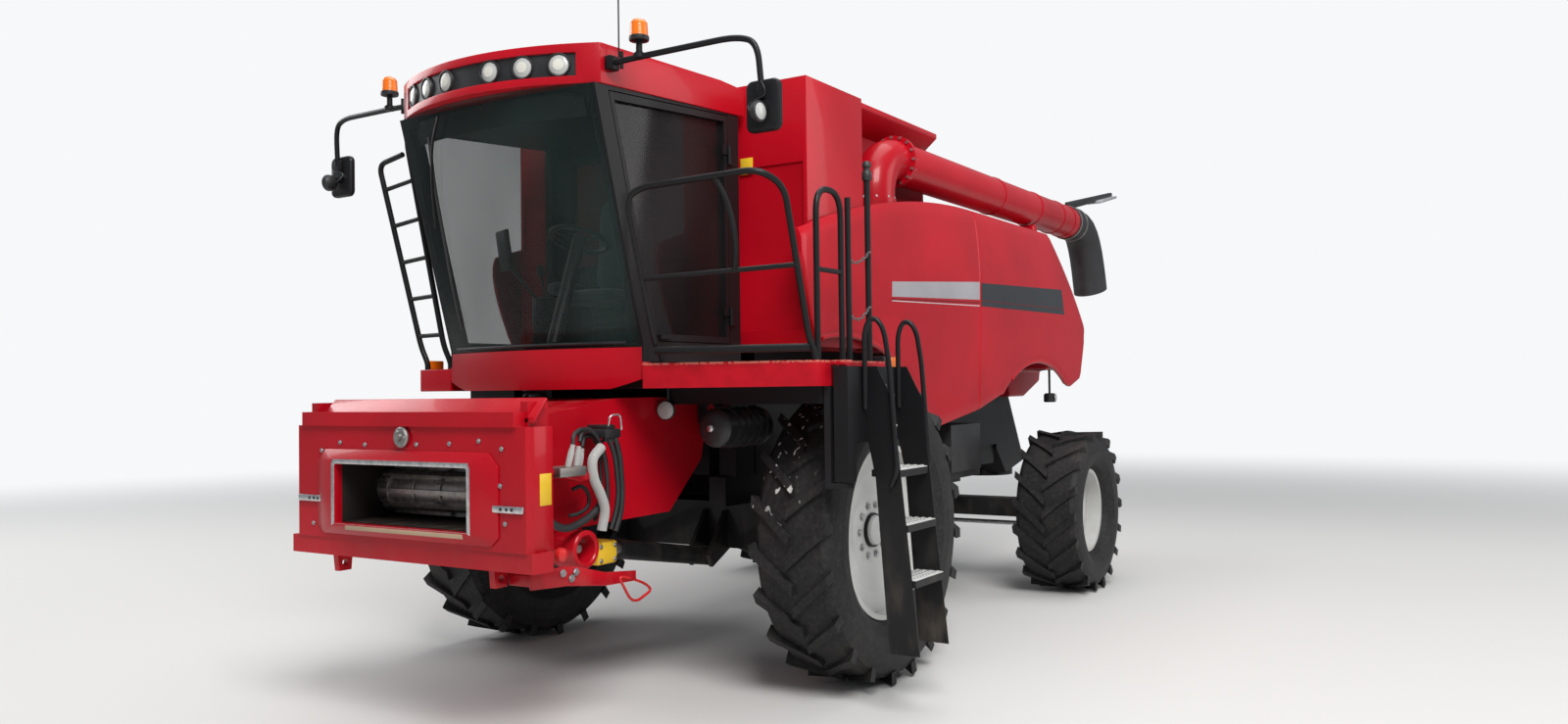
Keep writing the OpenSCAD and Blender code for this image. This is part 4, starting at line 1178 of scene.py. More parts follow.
@dataclass
class Cab(SubAssembly):
    """Seat, console, mirrors, sun blind, wiper and windscreen seal."""

    folds: int = 15
    mirror_y: float = 1730
    mirror_z: float = 3369
    shell: tuple = ((1500, 3), (1503, 0), (1526, 0), (1536, 7), (1541, 20), (1543, 42))
    pot: tuple = (
        (0, 0), (0.030, 0.002), (0.050, 0.018), (0.056, 0.040), (0.056, 0.050), (0.050, 0.054),
        (0, 0.050),
    )
    lens: tuple = ((0, 0.044), (0.049, 0.044), (0.047, 0.052), (0.030, 0.059), (0, 0.062))
    lead: tuple = (
        (1590, -14, 3322), (1580, -52, 3340), (1566, -66, 3372), (1560, -20, 3396), (1566, 34, 3412),
        (1574, 38, 3450), (1570, 16, 3486),
    )
    lever: tuple = ((960, -390, 2490), (975, -388, 2570), (1000, -380, 2640))
    grip: tuple = ((0, 0), (0.016, 0.004), (0.027, 0.03), (0.024, 0.07), (0.012, 0.09), (0, 0.094))
    stalk: tuple = ((1020, -400, 2480), (1130, -470, 2640), (1210, -500, 2760))
    wiper_arm: tuple = ((452, 118), (446, 150), (446, 190), (450, 232))
    wiper_blade: tuple = ((440, 140), (446, 190), (455, 240), (464, 290), (474, 335))

    def build(self) -> None:
        """Makes the cab's pieces."""
        self.seat()
        self.console()
        self.mirrors()
        self.visor()
        self.wiper()
        self.seals()

    def seat(self) -> None:
        """The padded seat on its ribbed base, in place of its plain solid."""
        lean = math.atan2(70, 640)
        flat = Matrix.Translation(mm(805, 0, 2481))
        back = Matrix.Translation(mm(588, 0, 2862)) @ Matrix.Rotation(-math.pi / 2 - lean, 4, "Y")
        arm = Matrix.Translation(mm(855, -284, 2552))
        pads = (
            cushion("seat_cushion", Vector((0.243, 0.238, 0.058)), flat, (-0.45, 0.1, 0.6)),
            cushion("seat_back", Vector((0.318, 0.228, 0.052)), back, (-0.5, -0.1, 0.3, 0.72)),
            cushion("seat_armrest", Vector((0.163, 0.044, 0.047)), arm, (), 0.02),
        )
        for pad in pads:
            self.add(pad, "chassis", "seat_cover", node="operator_seat")
        rings = []
        for i in range(self.folds):
            inset = 8 * (i % 2)
            frame = rounded_frame(690, 0, 88 - inset, 156 - inset, 26)
            rings.append([mm(x, y, 2102 + i * 22.6) for x, y in frame])
        self.add(stack("seat_bellows", rings), "chassis", "black_plastic", node="operator_seat")

    def console(self) -> None:
        """Control console with its lever and a screen on a stalk."""
        dress = ("chassis", "black_plastic")
        self.block("control_console", (640, -440, 2105), (1040, -345, 2500), 0.02, *dress)
        self.add(tube("drive_lever", smooth_path(route(self.lever), 6), 0.009), *dress)
        grip = lathe("drive_lever_grip", self.grip, facing(mm(996, -381, 2625), Vector((0.3, 0.1, 1))), 20)
        self.add(grip, *dress, "hose_rubber")
        self.add(tube("screen_stalk", smooth_path(route(self.stalk), 6), 0.011), *dress)
        corner = Vector((0.13, 0.09, 0.015))
        screen = box_piece("cab_screen", -corner, corner, 0.008)
        screen.data.transform(facing(mm(1212, -502, 2800), Vector((-1, 0.45, 0.15)), math.pi / 2))
        self.add(screen, *dress)

    def mirrors(self) -> None:
        """Rounded mirror housings with their glass, and the round lamp in front of each."""
        z = self.mirror_z
        for side in Side:
            word, y = side.word, side.value * self.mirror_y
            rings = []
            for x, cut in self.shell:
                frame = rounded_frame(y, z, 106 - cut, 138 - cut, max(40 - cut, 8))
                rings.append([mm(x, a, b) for a, b in frame])
            parts = [
                stack(f"{word}_mirror_shell", rings),
                box_piece("foot", mm(1540, y - 14, 3400), mm(1566, y + 30, 3480), 0.006),
                box_piece("grip", mm(1540, y - 40, 3336), mm(1580, y + 40, 3362), 0.005),
            ]
            self.add(join(f"{word}_mirror", parts), "chassis", "black_paint", node="mirrors")
            ring = [mm(1499.5, a, b) for a, b in rounded_frame(y, z, 92, 124, 32)]
            pane = round_edges(prism(f"{word}_mirror_glass", ring, AHEAD * -0.003), 0.001)
            self.add(pane, "chassis", "bare_steel", "mirror_silver")
            where = facing(mm(1604, y - side.value * 14, 3319), Vector((0.1, side.value, 0)))
            lamp = lathe(f"{word}_mirror_lamp", self.pot, where, 32)
            self.add(lamp, "chassis", "black_paint", "black_plastic", "mirrors")
            self.add(lathe(f"{word}_mirror_lens", self.lens, where, 32), "chassis", "lamp_clear")
            lead = smooth_path([mm(a, y + side.value * b, c) for a, b, c in self.lead], 5)
            self.add(tube(f"{word}_mirror_lead", lead, 0.0045, 8), "chassis", "black_paint", "black_plastic")

    def inner(self, y: float, z: float, depth: float) -> Vector:
        """A point inside the windscreen at a depth behind its outer face."""
        return landing(self.nodes["cab_glass"], mm(3200, y, z), -AHEAD) - AHEAD * depth

    def visor(self) -> None:
        """Dark sun blind behind the windscreen's upper edge."""
        rows = [[self.inner(y, z, 0.045) for z in (3545, 3500, 3455, 3415)] for y in range(-690, 691, 46)]
        self.add(band("sun_blind", rows, AHEAD * -0.004), "chassis", "black_plastic")

    def wiper(self) -> None:
        """Wiper arm and blade on the windscreen, where the picture shows them."""
        for name, line, lift, radius, slot in (
            ("wiper_arm", self.wiper_arm, 0.034, 0.008, "black_paint"),
            ("wiper_blade", self.wiper_blade, 0.016, 0.010, "black_plastic"),
        ):
            path = [self.sight.on(self.nodes["cab_glass"], px, py, lift) for px, py in line]
            self.add(tube(name, smooth_path(path, 6), radius, 8), "chassis", slot)

    def seals(self) -> None:
        """Rubber seal along the windscreen's lower edge."""
        path = [self.inner(y, 2152, -0.004) for y in range(-700, 701, 50)]
        self.add(tube("windscreen_seal", path, 0.009, 8), "chassis", "black_plastic", "hose_rubber")


def rounded_frame(u: float, v: float, half_u: float, half_v: float, r: float) -> list[tuple[float, float]]:
    """Points of a rectangle with rounded corners.

    Args:
        u: centre along the first axis.
        v: centre along the second axis.
        half_u: half of the first side.
        half_v: half of the second side.
        r: radius of the corners.

    Returns:
        Pairs of numbers, once round.
    """
    points = []
    for k, (a, b) in enumerate(((1, 1), (-1, 1), (-1, -1), (1, -1))):
        for i in range(6):
            t = math.pi / 2 * (k + i / 5)
            points.append((u + a * (half_u - r) + r * math.cos(t), v + b * (half_v - r) + r * math.sin(t)))
    return points


def stack(name: str, rings: list[list[Vector]]) -> bpy.types.Object:
    """A closed skin over a stack of rings with the same number of points."""
    count = len(rings[0])
    verts = [point for ring in rings for point in ring]
    ends = [tuple(range(count)), tuple(range(len(verts) - count, len(verts)))]
    return smooth(mesh_object(name, verts, ends + ring_faces(len(rings), count)), 30.0)


@dataclass
class Feeder(SubAssembly):
    """Fastenings, blank plate, drive ring, gear box, lock arm, coupler, ports and hoses of the feeder."""

    face: float = 2450
    face_bolts: tuple = (
        (-522, 1606), (-310, 1597), (108, 1604), (360, 1611), (577, 1628), (-685, 1559), (-698, 1371),
        (739, 1590), (727, 1404), (760, 1215), (-760, 1145),
    )
    boss: tuple = (
        (0.0, 0), (0.056, 0), (0.056, 0.010), (0.048, 0.018), (0.022, 0.020), (0.020, 0.034), (0, 0.036),
    )
    drive_at: tuple = (1854, 586, 1013)
    ring: tuple = ((0.074, 0), (0.104, 0), (0.104, 0.17), (0.098, 0.176), (0.080, 0.176), (0.074, 0.168))
    hub: tuple = ((0, 0), (0.040, 0), (0.040, 0.09), (0.030, 0.10), (0.022, 0.12), (0, 0.121))
    box_bolts: tuple = ((1600, 930), (1600, 1008), (1717, 930), (1717, 1008))
    arm: tuple = (
        (2330, 868), (2330, 948), (2110, 958), (2000, 946), (1760, 880), (1502, 854), (1502, 797),
        (1760, 806), (2060, 850),
    )
    arm_bolts: tuple = ((2104, 924), (2005, 917), (2039, 888))
    handle: tuple = (
        (1560, 820), (1638, 832), (1600, 765), (1550, 701), (1493, 684), (1430, 700), (1375, 725),
        (1420, 765), (1503, 800),
    )
    knob: tuple = ((0, 0), (0.036, 0), (0.038, 0.01), (0.034, 0.03), (0.020, 0.04), (0, 0.042))
    bracket: tuple = ((2200, 1480), (2200, 1452), (1960, 1392), (1843, 1398), (1843, 1430), (1950, 1440))
    ends: tuple = (
        ((2029, 790, 1470), (1990, 790, 1580)), ((1947, 770, 1455), (1914, 770, 1604)),
        ((1895, 745, 1440), (1866, 745, 1574)),
    )
    sleeve: tuple = (
        (0, 0), (0.015, 0), (0.017, 0.02), (0.017, 0.085), (0.013, 0.112), (0.0135, 0.125), (0, 0.126),
    )
    port_handle: tuple = (
        (1700, 790, 1680), (1695, 800, 1738), (1620, 806, 1742), (1612, 808, 1690), (1608, 806, 1655),
    )
    hoses: tuple = (
        ("f", 17, (
            (1655, 770, 1640), (1640, 788, 1600), (1614, 795, 1500), (1606, 798, 1400), (1602, 800, 1300),
            (1618, 800, 1190), (1655, 795, 1095),
        )),
        ("g", 13, (
            (1705, 770, 1640), (1690, 785, 1600), (1662, 800, 1510), (1650, 806, 1400), (1646, 808, 1300),
            (1664, 806, 1200), (1700, 800, 1110),
        )),
        ("a", 12, (
            (1990, 790, 1578), (1968, 782, 1640), (1890, 770, 1668), (1790, 765, 1640), (1718, 762, 1540),
            (1690, 765, 1400), (1700, 775, 1260), (1730, 780, 1150),
        )),
        ("b", 12, (
            (1914, 770, 1602), (1880, 760, 1655), (1800, 748, 1660), (1715, 742, 1590), (1668, 742, 1470),
            (1660, 745, 1330), (1680, 755, 1200), (1715, 762, 1125),
        )),
        ("c", 11, (
            (1866, 745, 1572), (1835, 735, 1622), (1770, 728, 1625), (1705, 722, 1550), (1690, 722, 1440),
            (1700, 728, 1330), (1730, 738, 1230), (1770, 745, 1160),
        )),
        ("d", 11, (
            (1897, 700, 1341), (1830, 710, 1352), (1790, 720, 1300), (1800, 722, 1240), (1860, 715, 1208),
            (1925, 700, 1200),
        )),
        ("e", 21, (
            (2154, 720, 1330), (2150, 735, 1250), (2105, 750, 1180), (2010, 758, 1145), (1900, 762, 1165),
            (1800, 768, 1210), (1725, 772, 1270),
        )),
    )
    bundle: tuple = (
        (1771, 800, 1567), (1850, 806, 1500), (1848, 812, 1400), (1800, 816, 1310), (1762, 812, 1220),
        (1775, 800, 1110),
    )

    def build(self) -> None:
        """Makes the feeder's pieces."""
        self.face_hardware()
        self.block("wall_plate", (2267, 894, 1300), (2349, 899, 1461), 0.0015, *self.yellow)
        self.drive()
        self.lock()
        self.coupler()
        self.lines()

    @property
    def yellow(self) -> tuple[str, str, str]:
        """Body, slot and finish of the feeder's yellow pieces."""
        return "feeder", "silver_paint", "yellow_paint"

    def side_bolts(self, name: str, y: float, points: tuple, **sizes: float) -> None:
        """Bolts on an upright face that looks left, by their X and Z."""
        self.bolts(name, "feeder", facing(mm(0, y, 0), LEFTWARD), [mm(x, y, z) for x, z in points], **sizes)

    def face_hardware(self) -> None:
        """Bolts on the faceplate, the round boss and its screws."""
        x = self.face + 4
        face = facing(mm(x, 0, 0), AHEAD)
        self.bolts("face_bolts", "feeder", face, [mm(x, y, z) for y, z in self.face_bolts])
        dome = lathe("pivot_boss", self.boss, facing(mm(self.face + 12, 4, 1641), AHEAD), 36)
        self.add(dome, "feeder", "bare_steel", "worn_steel")
        ring = {"Count": 3, "Radius": 0.034, "Head": 0.006, "Height": 0.008, "Washer": 0.008}
        screws = self.hardware.ring.grow("boss_screws", facing(mm(self.face + 31, 4, 1641), AHEAD), **ring)
        self.add(screws, "feeder", "bare_steel")

    def drive(self) -> None:
        """Drive ring and the yellow gear box on the feeder's left wall."""
        where = facing(mm(*self.drive_at), LEFTWARD)
        self.add(lathe("drive_ring", self.ring, where, 44), "feeder", "red_paint")
        self.add(lathe("drive_stub", self.hub, where, 24), "feeder", "bare_steel", "worn_steel")
        self.block("gear_box", (1575, 588, 905), (1742, 742, 1033), 0.016, *self.yellow)
        self.side_bolts("gear_box_bolts", 744, self.box_bolts)

    def lock(self) -> None:
        """Lock arm under the side wall with its bolts, knob and bent handle."""
        self.add(cut_plate("lock_arm", self.arm, 800, 0.014, 0.003), "feeder", "red_paint")
        self.block("lock_arm_spacer", (2240, 640, 880), (2320, 802, 940), 0.006, "feeder", "red_paint")
        self.side_bolts("lock_bolts", 820, self.arm_bolts, Head=0.016, Height=0.02, Washer=0.021)
        path = smooth_path([mm(x, 812, z) for x, z in self.handle], 6)
        self.add(tube("lock_handle", path, 0.008, 10), "feeder", "red_paint", "red_plastic")
        knob = lathe("lock_knob", self.knob, facing(mm(2213, 896, 1040), LEFTWARD), 24)
        self.add(knob, "feeder", "red_paint", "red_plastic")

    def coupler(self) -> None:
        """Hose coupler on its bracket and the white ends of its hoses."""
        self.add(cut_plate("coupler_bracket", self.bracket, 590, 0.215, 0.004), "feeder", "red_paint")
        steel = ("feeder", "bare_steel", "worn_steel")
        self.block("coupler_block", (1945, 700, 1425), (2150, 850, 1476), 0.008, *steel)
        made = []
        for low, high in self.ends:
            made.append(lathe("hose_end", self.sleeve, facing(mm(*low), mm(*high) - mm(*low)), 18))
        self.add(join("hose_ends", made), "feeder", "silver_paint", "white_sleeve")

    def lines(self) -> None:
        """Hoses, the ports that two of them come from and the wrapped bundle."""
        for title, radius, points in self.hoses:
            self.cord(f"lift_hose_{title}", smooth_path(route(points), 5), radius / 1000, "hose_rubber")
        ports = [
            box_piece("port", mm(1610, 596, 1612), mm(1742, 806, 1662), 0.008),
            box_piece("port", mm(1640, 640, 1660), mm(1712, 790, 1686), 0.006),
            tube("port", route([(1655, 770, 1590), (1655, 770, 1620)]), 0.021, 14),
            tube("port", route([(1705, 770, 1590), (1705, 770, 1620)]), 0.017, 14),
        ]
        self.add(join("hose_ports", ports), "feeder", "black_plastic")
        handle = tube("port_handle", bent_path(route(self.port_handle), 0.022), 0.006, 10)
        self.add(handle, "feeder", "bare_steel", "bright_steel")
        self.cord("wrapped_bundle", smooth_path(route(self.bundle), 6), 0.027, "white_sleeve")

    def cord(self, name: str, path: list[Vector], radius: float, finish: str) -> None:
        """Makes one hose along a path."""
        obj = self.add(tube(name, path, radius, 14), "feeder", "black_plastic", finish)
        run_length(path)


@dataclass
class Access(SubAssembly):
    """Treads, bolts and lever of the left ladder, gate chains, canister cap and the tank's blank plate."""

    steps: int = 3
    chains: tuple = (
        ((687, 2621), (640, 2612), (611, 2610), (560, 2625), (500, 2650), (442, 2688)),
        ((688, 2298), (640, 2280), (591, 2276), (530, 2298), (446, 2355)),
    )
    head_y: float = 1910
    head_bolts: tuple = (
        (712, 1852), (640, 1858), (700, 1745), (600, 1640), (420, 1825), (380, 1640), (480, 1760),
        (350, 1880), (520, 1880),
    )
    handle: tuple = ((586, 1920, 1898), (640, 1926, 1912), (672, 1928, 1880))
    cap: tuple = (
        (0, 0), (0.113, 0), (0.117, 0.004), (0.117, 0.022), (0.104, 0.040), (0.080, 0.052), (0.040, 0.060),
        (0.028, 0.061), (0, 0.062),
    )
    knob: tuple = ((0, 0), (0.022, 0), (0.024, 0.006), (0.022, 0.016), (0.012, 0.022), (0, 0.024))

    def build(self) -> None:
        """Makes the pieces of the ladder and of what stands beside it."""
        for i in range(self.steps):
            self.tread(i)
        y = self.head_y
        points = [mm(x, y, z) for x, z in self.head_bolts]
        self.bolts("ladder_head_bolts", "side_ladder", facing(mm(0, y, 0), LEFTWARD), points)
        for i, line in enumerate(self.chains):
            path = smooth_path([mm(x, 1775, z) for x, z in line], 5)
            base = base_mesh("chain_line", path, True)
            chain = self.hardware.chain.grow(f"gate_chain_{i}", Matrix.Identity(4), base)
            self.add(chain, "chassis", "black_plastic", "chain_plastic")
        self.lever()
        self.canister()
        yellow = ("chassis", "silver_paint", "yellow_paint")
        self.block("tank_plate", (299, 750, 3290), (304, 846, 3398), 0.001, *yellow)

    def tread(self, i: int) -> None:
        """One step's silver plate with raised grips."""
        y, top = 1915 + 45 * i, 1400 - 310 * i
        steel = ("side_ladder", "bare_steel", "step_steel")
        self.block(f"step_plate_{i}", (342, y + 3, top - 1), (714, y + 177, top + 5), 0.002, *steel)
        middle = Matrix.Translation(mm(528, y + 90, top + 7))
        self.add(self.hardware.grips.grow(f"step_grips_{i}", middle), "side_ladder", "bare_steel")
        middle = Matrix.Translation(mm(528, y + 90, top + 9))
        pits = self.hardware.pits.grow(f"step_pits_{i}", middle, Collar=0.0055, Tip=0.0055)
        self.add(pits, "side_ladder", "black_plastic")

    def lever(self) -> None:
        """Lever block with its pin and handle on the ladder's head."""
        pieces = [
            box_piece("block", mm(560, 1902, 1815), mm(612, 1938, 1842), 0.004),
            tube("pin", route([(586, 1920, 1842), (586, 1920, 1905)]), 0.008, 10),
            tube("handle", bent_path(route(self.handle), 0.03), 0.007, 10),
        ]
        self.add(join("ladder_lever", pieces), "side_ladder", "bare_steel", "bright_steel")

    def canister(self) -> None:
        """The reservoir canister's domed cap and its knob."""
        cover = lathe("canister_cap", self.cap, facing(mm(996, 1030, 1645), AHEAD), 48)
        self.add(cover, "chassis", "black_plastic")
        nut = lathe("canister_knob", self.knob, facing(mm(1057, 1030, 1645), AHEAD), 28)
        self.add(nut, "chassis", "bare_steel", "bright_steel")


def softened(solid: bpy.types.Object, name: str, width: float) -> bpy.types.Object:
    """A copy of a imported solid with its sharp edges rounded.

    Args:
        solid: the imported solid, which stays as it is.
        name: the copy's name.
        width: width of the rounded edge in metres.

    Returns:
        The copy.
    """
    crease = 38.0
    made = bmesh.new()
    made.from_mesh(solid.data)
    bmesh.ops.remove_doubles(made, verts=made.verts, dist=1e-5)
    bmesh.ops.dissolve_limit(made, angle_limit=math.radians(1.0), verts=made.verts, edges=made.edges)
    bevel_sharp(made, width, 3, crease)
    bmesh.ops.triangulate(made, faces=[f for f in made.faces if len(f.verts) > 4])
    mesh = bpy.data.meshes.new(name)
    made.to_mesh(mesh)
    made.free()
    return smooth(linked(name, mesh), crease)


@dataclass
class Softened(SubAssembly):
    """Sheet-metal and moulded solids that get rounded edges."""

    widths: dict = field(default_factory=lambda: {
        "cab_roof": 0.028, "cab_nose": 0.03, "grain_tank": 0.03, "tank_flaps": 0.008,
        "straw_hood": 0.02, "engine_hood": 0.02, "tool_box": 0.015, "right_deck": 0.006,
    })

    def build(self) -> None:
        """Replaces each solid with its rounded copy."""
        for name, width in self.widths.items():
            solid = self.nodes[name]
            obj = softened(solid, f"{name}_shell", width)
            self.add(obj, solid["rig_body"], self.slots[name], node=name)


@dataclass
class Shields(SubAssembly):
    """Bulged side shields with rolled arches, and their stripes."""

    seam: float = -2295
    gap: float = 4
    ends: tuple[float, float] = (515, -5098)
    bulge: tuple[float, float, float] = (-2912.2, 2704.8, 4265.4)
    crease: float = 2370
    crease_y: float = 1340
    tuck: float = 20 / 870
    crest: float = 3325
    crest_r: float = 8900
    front_arch: tuple[float, float, float] = (-60, 445, 1775)
    rear_arch: tuple[float, float, float] = (-3770, 592, 1504)
    thick: float = 24
    lower: tuple = (
        (515, 2700), (449, 2470), (378, 2286), (290, 2140), (-900, 1800), (-1490, 1560), (-2330, 1680),
        (-2820, 1795), (-3300, 1800), (-4480, 1880), (-4652, 1850), (-4960, 1935), (-5100, 2355),
    )
    front: tuple = (
        ("silver", "stripe_silver", (-700, 2619, -2290, 2728), (-700, 2512, -2290, 2581)),
        ("red_line", "stripe_red", (-700, 2500, -2290, 2561), (-700, 2493, -2290, 2552)),
        ("white_line", "stripe_white", (-700, 2486, -2290, 2534), (-700, 2480, -2290, 2527)),
    )
    rear: tuple = (
        ("dark", "stripe_dark", (-2330, 2722, -4346, 2796), (-2330, 2531, -4430, 2557)),
        ("line", "stripe_red", (-2330, 2578, -4400, 2614), (-2330, 2572, -4402, 2607)),
    )

    def build(self) -> None:
        """Makes both sides."""
        front_end, rear_end = self.ends
        spans = (("front", front_end, self.seam + self.gap), ("rear", self.seam - self.gap, rear_end))
        arches = (("front", self.front_arch, 80, 138), ("rear", self.rear_arch, 62, 120))
        for side in Side:
            for part, x0, x1 in spans:
                name = f"{side.word}_{part}_shield"
                self.add(self.skin(f"{name}_skin", side, x0, x1), "chassis", "red_paint", node=name)
            for part, arch, first, last in arches:
                self.lip(f"{side.word}_{part}_arch_lip", side, arch, first, last)
            for part, rows in (("front", self.front), ("rear", self.rear)):
                for title, finish, upper, lower in rows:
                    self.stripe(f"{side.word}_{part}_stripe_{title}", side, finish, upper, lower)

    def out(self, z: float) -> float:
        """Distance of the outer face from the machine's middle at a height."""
        if z < self.crease:
            return self.crease_y - self.tuck * (self.crease - z)
        y, mid, r = self.bulge
        return y + math.sqrt(r * r - (z - mid) ** 2)

    def top(self, x: float) -> float:
        """Height of the upper edge at a place along the machine."""
        if x > self.seam:
            return self.crest - self.crest_r + math.sqrt(self.crest_r ** 2 - (x - self.seam) ** 2)
        return min(self.crest, 3315 + (x + 4180) * 835 / 925)

    def bottom(self, x: float) -> float:
        """Height of the lower edge at a place along the machine, above the wheel arches."""
        line = self.lower
        z = line[-1][1]
        for (x0, z0), (x1, z1) in zip(line, line[1:]):
            if x1 <= x <= x0:
                z = z0 + (z1 - z0) * (x - x0) / (x1 - x0)
        for cx, cz, r in (self.front_arch, self.rear_arch):
            if abs(x - cx) < r:
                z = max(z, cz + math.sqrt(r * r - (x - cx) ** 2))
        return z

    def lip(self, name: str, side: Side, arch: tuple[float, float, float], first: float, last: float) -> None:
        """Rolls the edge of a wheel arch.

        Args:
            name: the piece's name.
            side: which side of the machine.
            arch: X, Z and radius of the arch in millimetres.
            first: angle in degrees at which the rolled edge begins.
            last: angle at which it ends.
        """
        cx, cz, r = arch
        steps, path = 40, []
        for i in range(steps + 1):
            a = math.radians(first + (last - first) * i / steps)
            z = cz + r * math.sin(a)
            path.append(mm(cx + r * math.cos(a), side.value * (self.out(z) - 20), z))
        self.add(tube(name, path, 0.021, 14), "chassis", "red_paint")

    def skin(self, name: str, side: Side, x0: float, x1: float) -> bpy.types.Object:
        """One shield's pressed sheet between two places along the machine."""
        steps, levels, rows = 110, 34, []
        for i in range(steps + 1):
            x = x0 + (x1 - x0) * i / steps
            low, high = self.bottom(x), self.top(x)
            row = []
            for j in range(levels + 1):
                z = low + (high - low) * j / levels
                roll = max(0.0, 1 - (high - z) / 90) ** 2 * 26 + max(0.0, 1 - (z - low) / 30) ** 2 * 8
                if x1 < self.seam or x0 > self.seam + 100:
                    end = min(abs(x - x0), abs(x - x1)) if x0 < 0 else abs(x - x0)
                    roll += max(0.0, 1 - end / 40) ** 2 * 10
                row.append(mm(x, side.value * (self.out(z) - roll), z))
            rows.append(row)
        return band(name, rows, side.out * (-self.thick / 1000))

    def stripe(
        self, name: str, side: Side, finish: str, upper: tuple[float, ...], lower: tuple[float, ...]
    ) -> None:
        """Lays one stripe on a shield.

        Args:
            name: the piece's name.
            side: which side of the machine.
            finish: its material.
            upper: X and Z of its upper edge's two ends, in millimetres.
            lower: the same for its lower edge.
        """
        steps, levels, rows = 40, 8, []
        lift = 2.2 if finish == "stripe_red" else 1.4
        for i in range(steps + 1):
            t = i / steps
            high, low = ((e[0] + (e[2] - e[0]) * t, e[1] + (e[3] - e[1]) * t) for e in (upper, lower))
            row = []
            for j in range(levels + 1):
                x, z = (a + (b - a) * (j / levels) for a, b in zip(high, low))
                row.append(mm(x, side.value * (self.out(z) + lift), z))
            rows.append(row)
        slot = "red_paint" if "red" in finish else "silver_paint"
        self.add(band(name, rows, side.out * -0.005), "chassis", slot, finish)


@dataclass
class Unloader(SubAssembly):
    """Rubber spout with its clamps, tube bands, flange bolts and the lamp on its arm."""

    y: float = 1110
    z: float = 3580
    wall: float = 20
    line: tuple = (
        (-5240, 3580, 172, 172), (-5290, 3580, 177, 177), (-5292, 3580, 171, 171), (-5480, 3580, 171, 171),
        (-5600, 3572, 172, 172), (-5700, 3540, 178, 172), (-5790, 3478, 190, 172), (-5862, 3395, 204, 172),
        (-5925, 3290, 220, 172), (-5980, 3160, 236, 171), (-6024, 3030, 248, 171), (-6062, 2905, 254, 170),
    )
    bands: tuple[float, ...] = (-3155, -4109, -4769, -5100)
    band: tuple = (
        (0.160, -0.02), (0.170, -0.02), (0.1715, -0.014), (0.1715, 0.014), (0.170, 0.02), (0.160, 0.02),
    )
    clamps: tuple[float, ...] = (-5264, -5446)
    clamp: tuple = (
        (0.168, -0.012), (0.178, -0.012), (0.1795, -0.008), (0.1795, 0.008), (0.178, 0.012), (0.168, 0.012),
    )
    lamp_arm: tuple = (
        (-5300, 3757), (-5480, 3757), (-6892, 4060), (-6900, 4110), (-6870, 4114), (-5300, 3800),
    )
    lamp_head: tuple = ((-6250, 3902), (-6880, 4042), (-6884, 4072), (-6250, 3938))

    def build(self) -> None:
        """Makes the unloader's pieces."""
        self.spout()
        for x in self.bands:
            obj = lathe(f"tube_band_{-x}", self.band, facing(mm(x, self.y, self.z), AHEAD), 56)
            self.add(obj, "unloader", "red_paint")
        self.flange("tube_flange_bolts", (-1229, self.y, self.z), AHEAD, (16, 0.183, 0.012, 0.066, 0.015))
        self.flange("turret_flange_bolts", (-900, self.y, 3247), UP, (10, 0.152, 0.009, 0.030, 0.012))
        arm = cut_plate("spout_lamp_arm", self.lamp_arm, self.y - 22, 0.044, 0.006)
        self.add(arm, "unloader", "spout_rubber", "black_plastic")
        head = cut_plate("spout_lamp", self.lamp_head, self.y - 82, 0.164, 0.008)
        self.add(head, "unloader", "lamp_clear", "lamp_shell")

    def flange(self, name: str, middle: tuple, way: Vector, sizes: tuple) -> None:
        """Puts a ring of bolts on a flange.

        Args:
            name: the piece's name.
            middle: the flange's middle in millimetres.
            way: direction that the bolts look in.
            sizes: how many bolts, and in metres their circle, head, height and washer.
        """
        named = dict(zip(("Count", "Radius", "Head", "Height", "Washer"), sizes))
        self.add(self.hardware.ring.grow(name, facing(mm(*middle), way), **named), "unloader", "bare_steel")

    def rings(self) -> list[list[Vector]]:
        """The sleeve's rings, down outside and back up inside."""
        centres = [Vector((x, 0, z)) for x, z, _, _ in self.line]
        outer, inner, sides = [], [], 48
        for i, (_, _, a, b) in enumerate(self.line):
            way = (centres[min(i + 1, len(centres) - 1)] - centres[max(i - 1, 0)]).normalized()
            over = LEFTWARD.cross(way)
            for target, cut in ((outer, 0), (inner, self.wall)):
                ring = []
                for k in range(sides):
                    t = 2 * math.pi * k / sides
                    high, wide = (a - cut) * math.cos(t), (b - cut) * math.sin(t)
                    point = centres[i] + over * high + LEFTWARD * wide
                    ring.append(mm(point.x, self.y + point.y, point.z))
                target.append(ring)
        return outer + inner[:6:-1]

    def spout(self) -> None:
        """The hollow rubber sleeve and its two clamps."""
        sleeve = smooth(stack("spout_sleeve", self.rings()), 45.0)
        self.add(sleeve, "unloader", "spout_rubber", node="unloader_spout")
        clamps = []
        for x in self.clamps:
            clamps.append(lathe("clamp", self.clamp, facing(mm(x, self.y, self.z), AHEAD), 56))
        self.add(join("spout_clamps", clamps), "unloader", "bare_steel", "worn_steel")


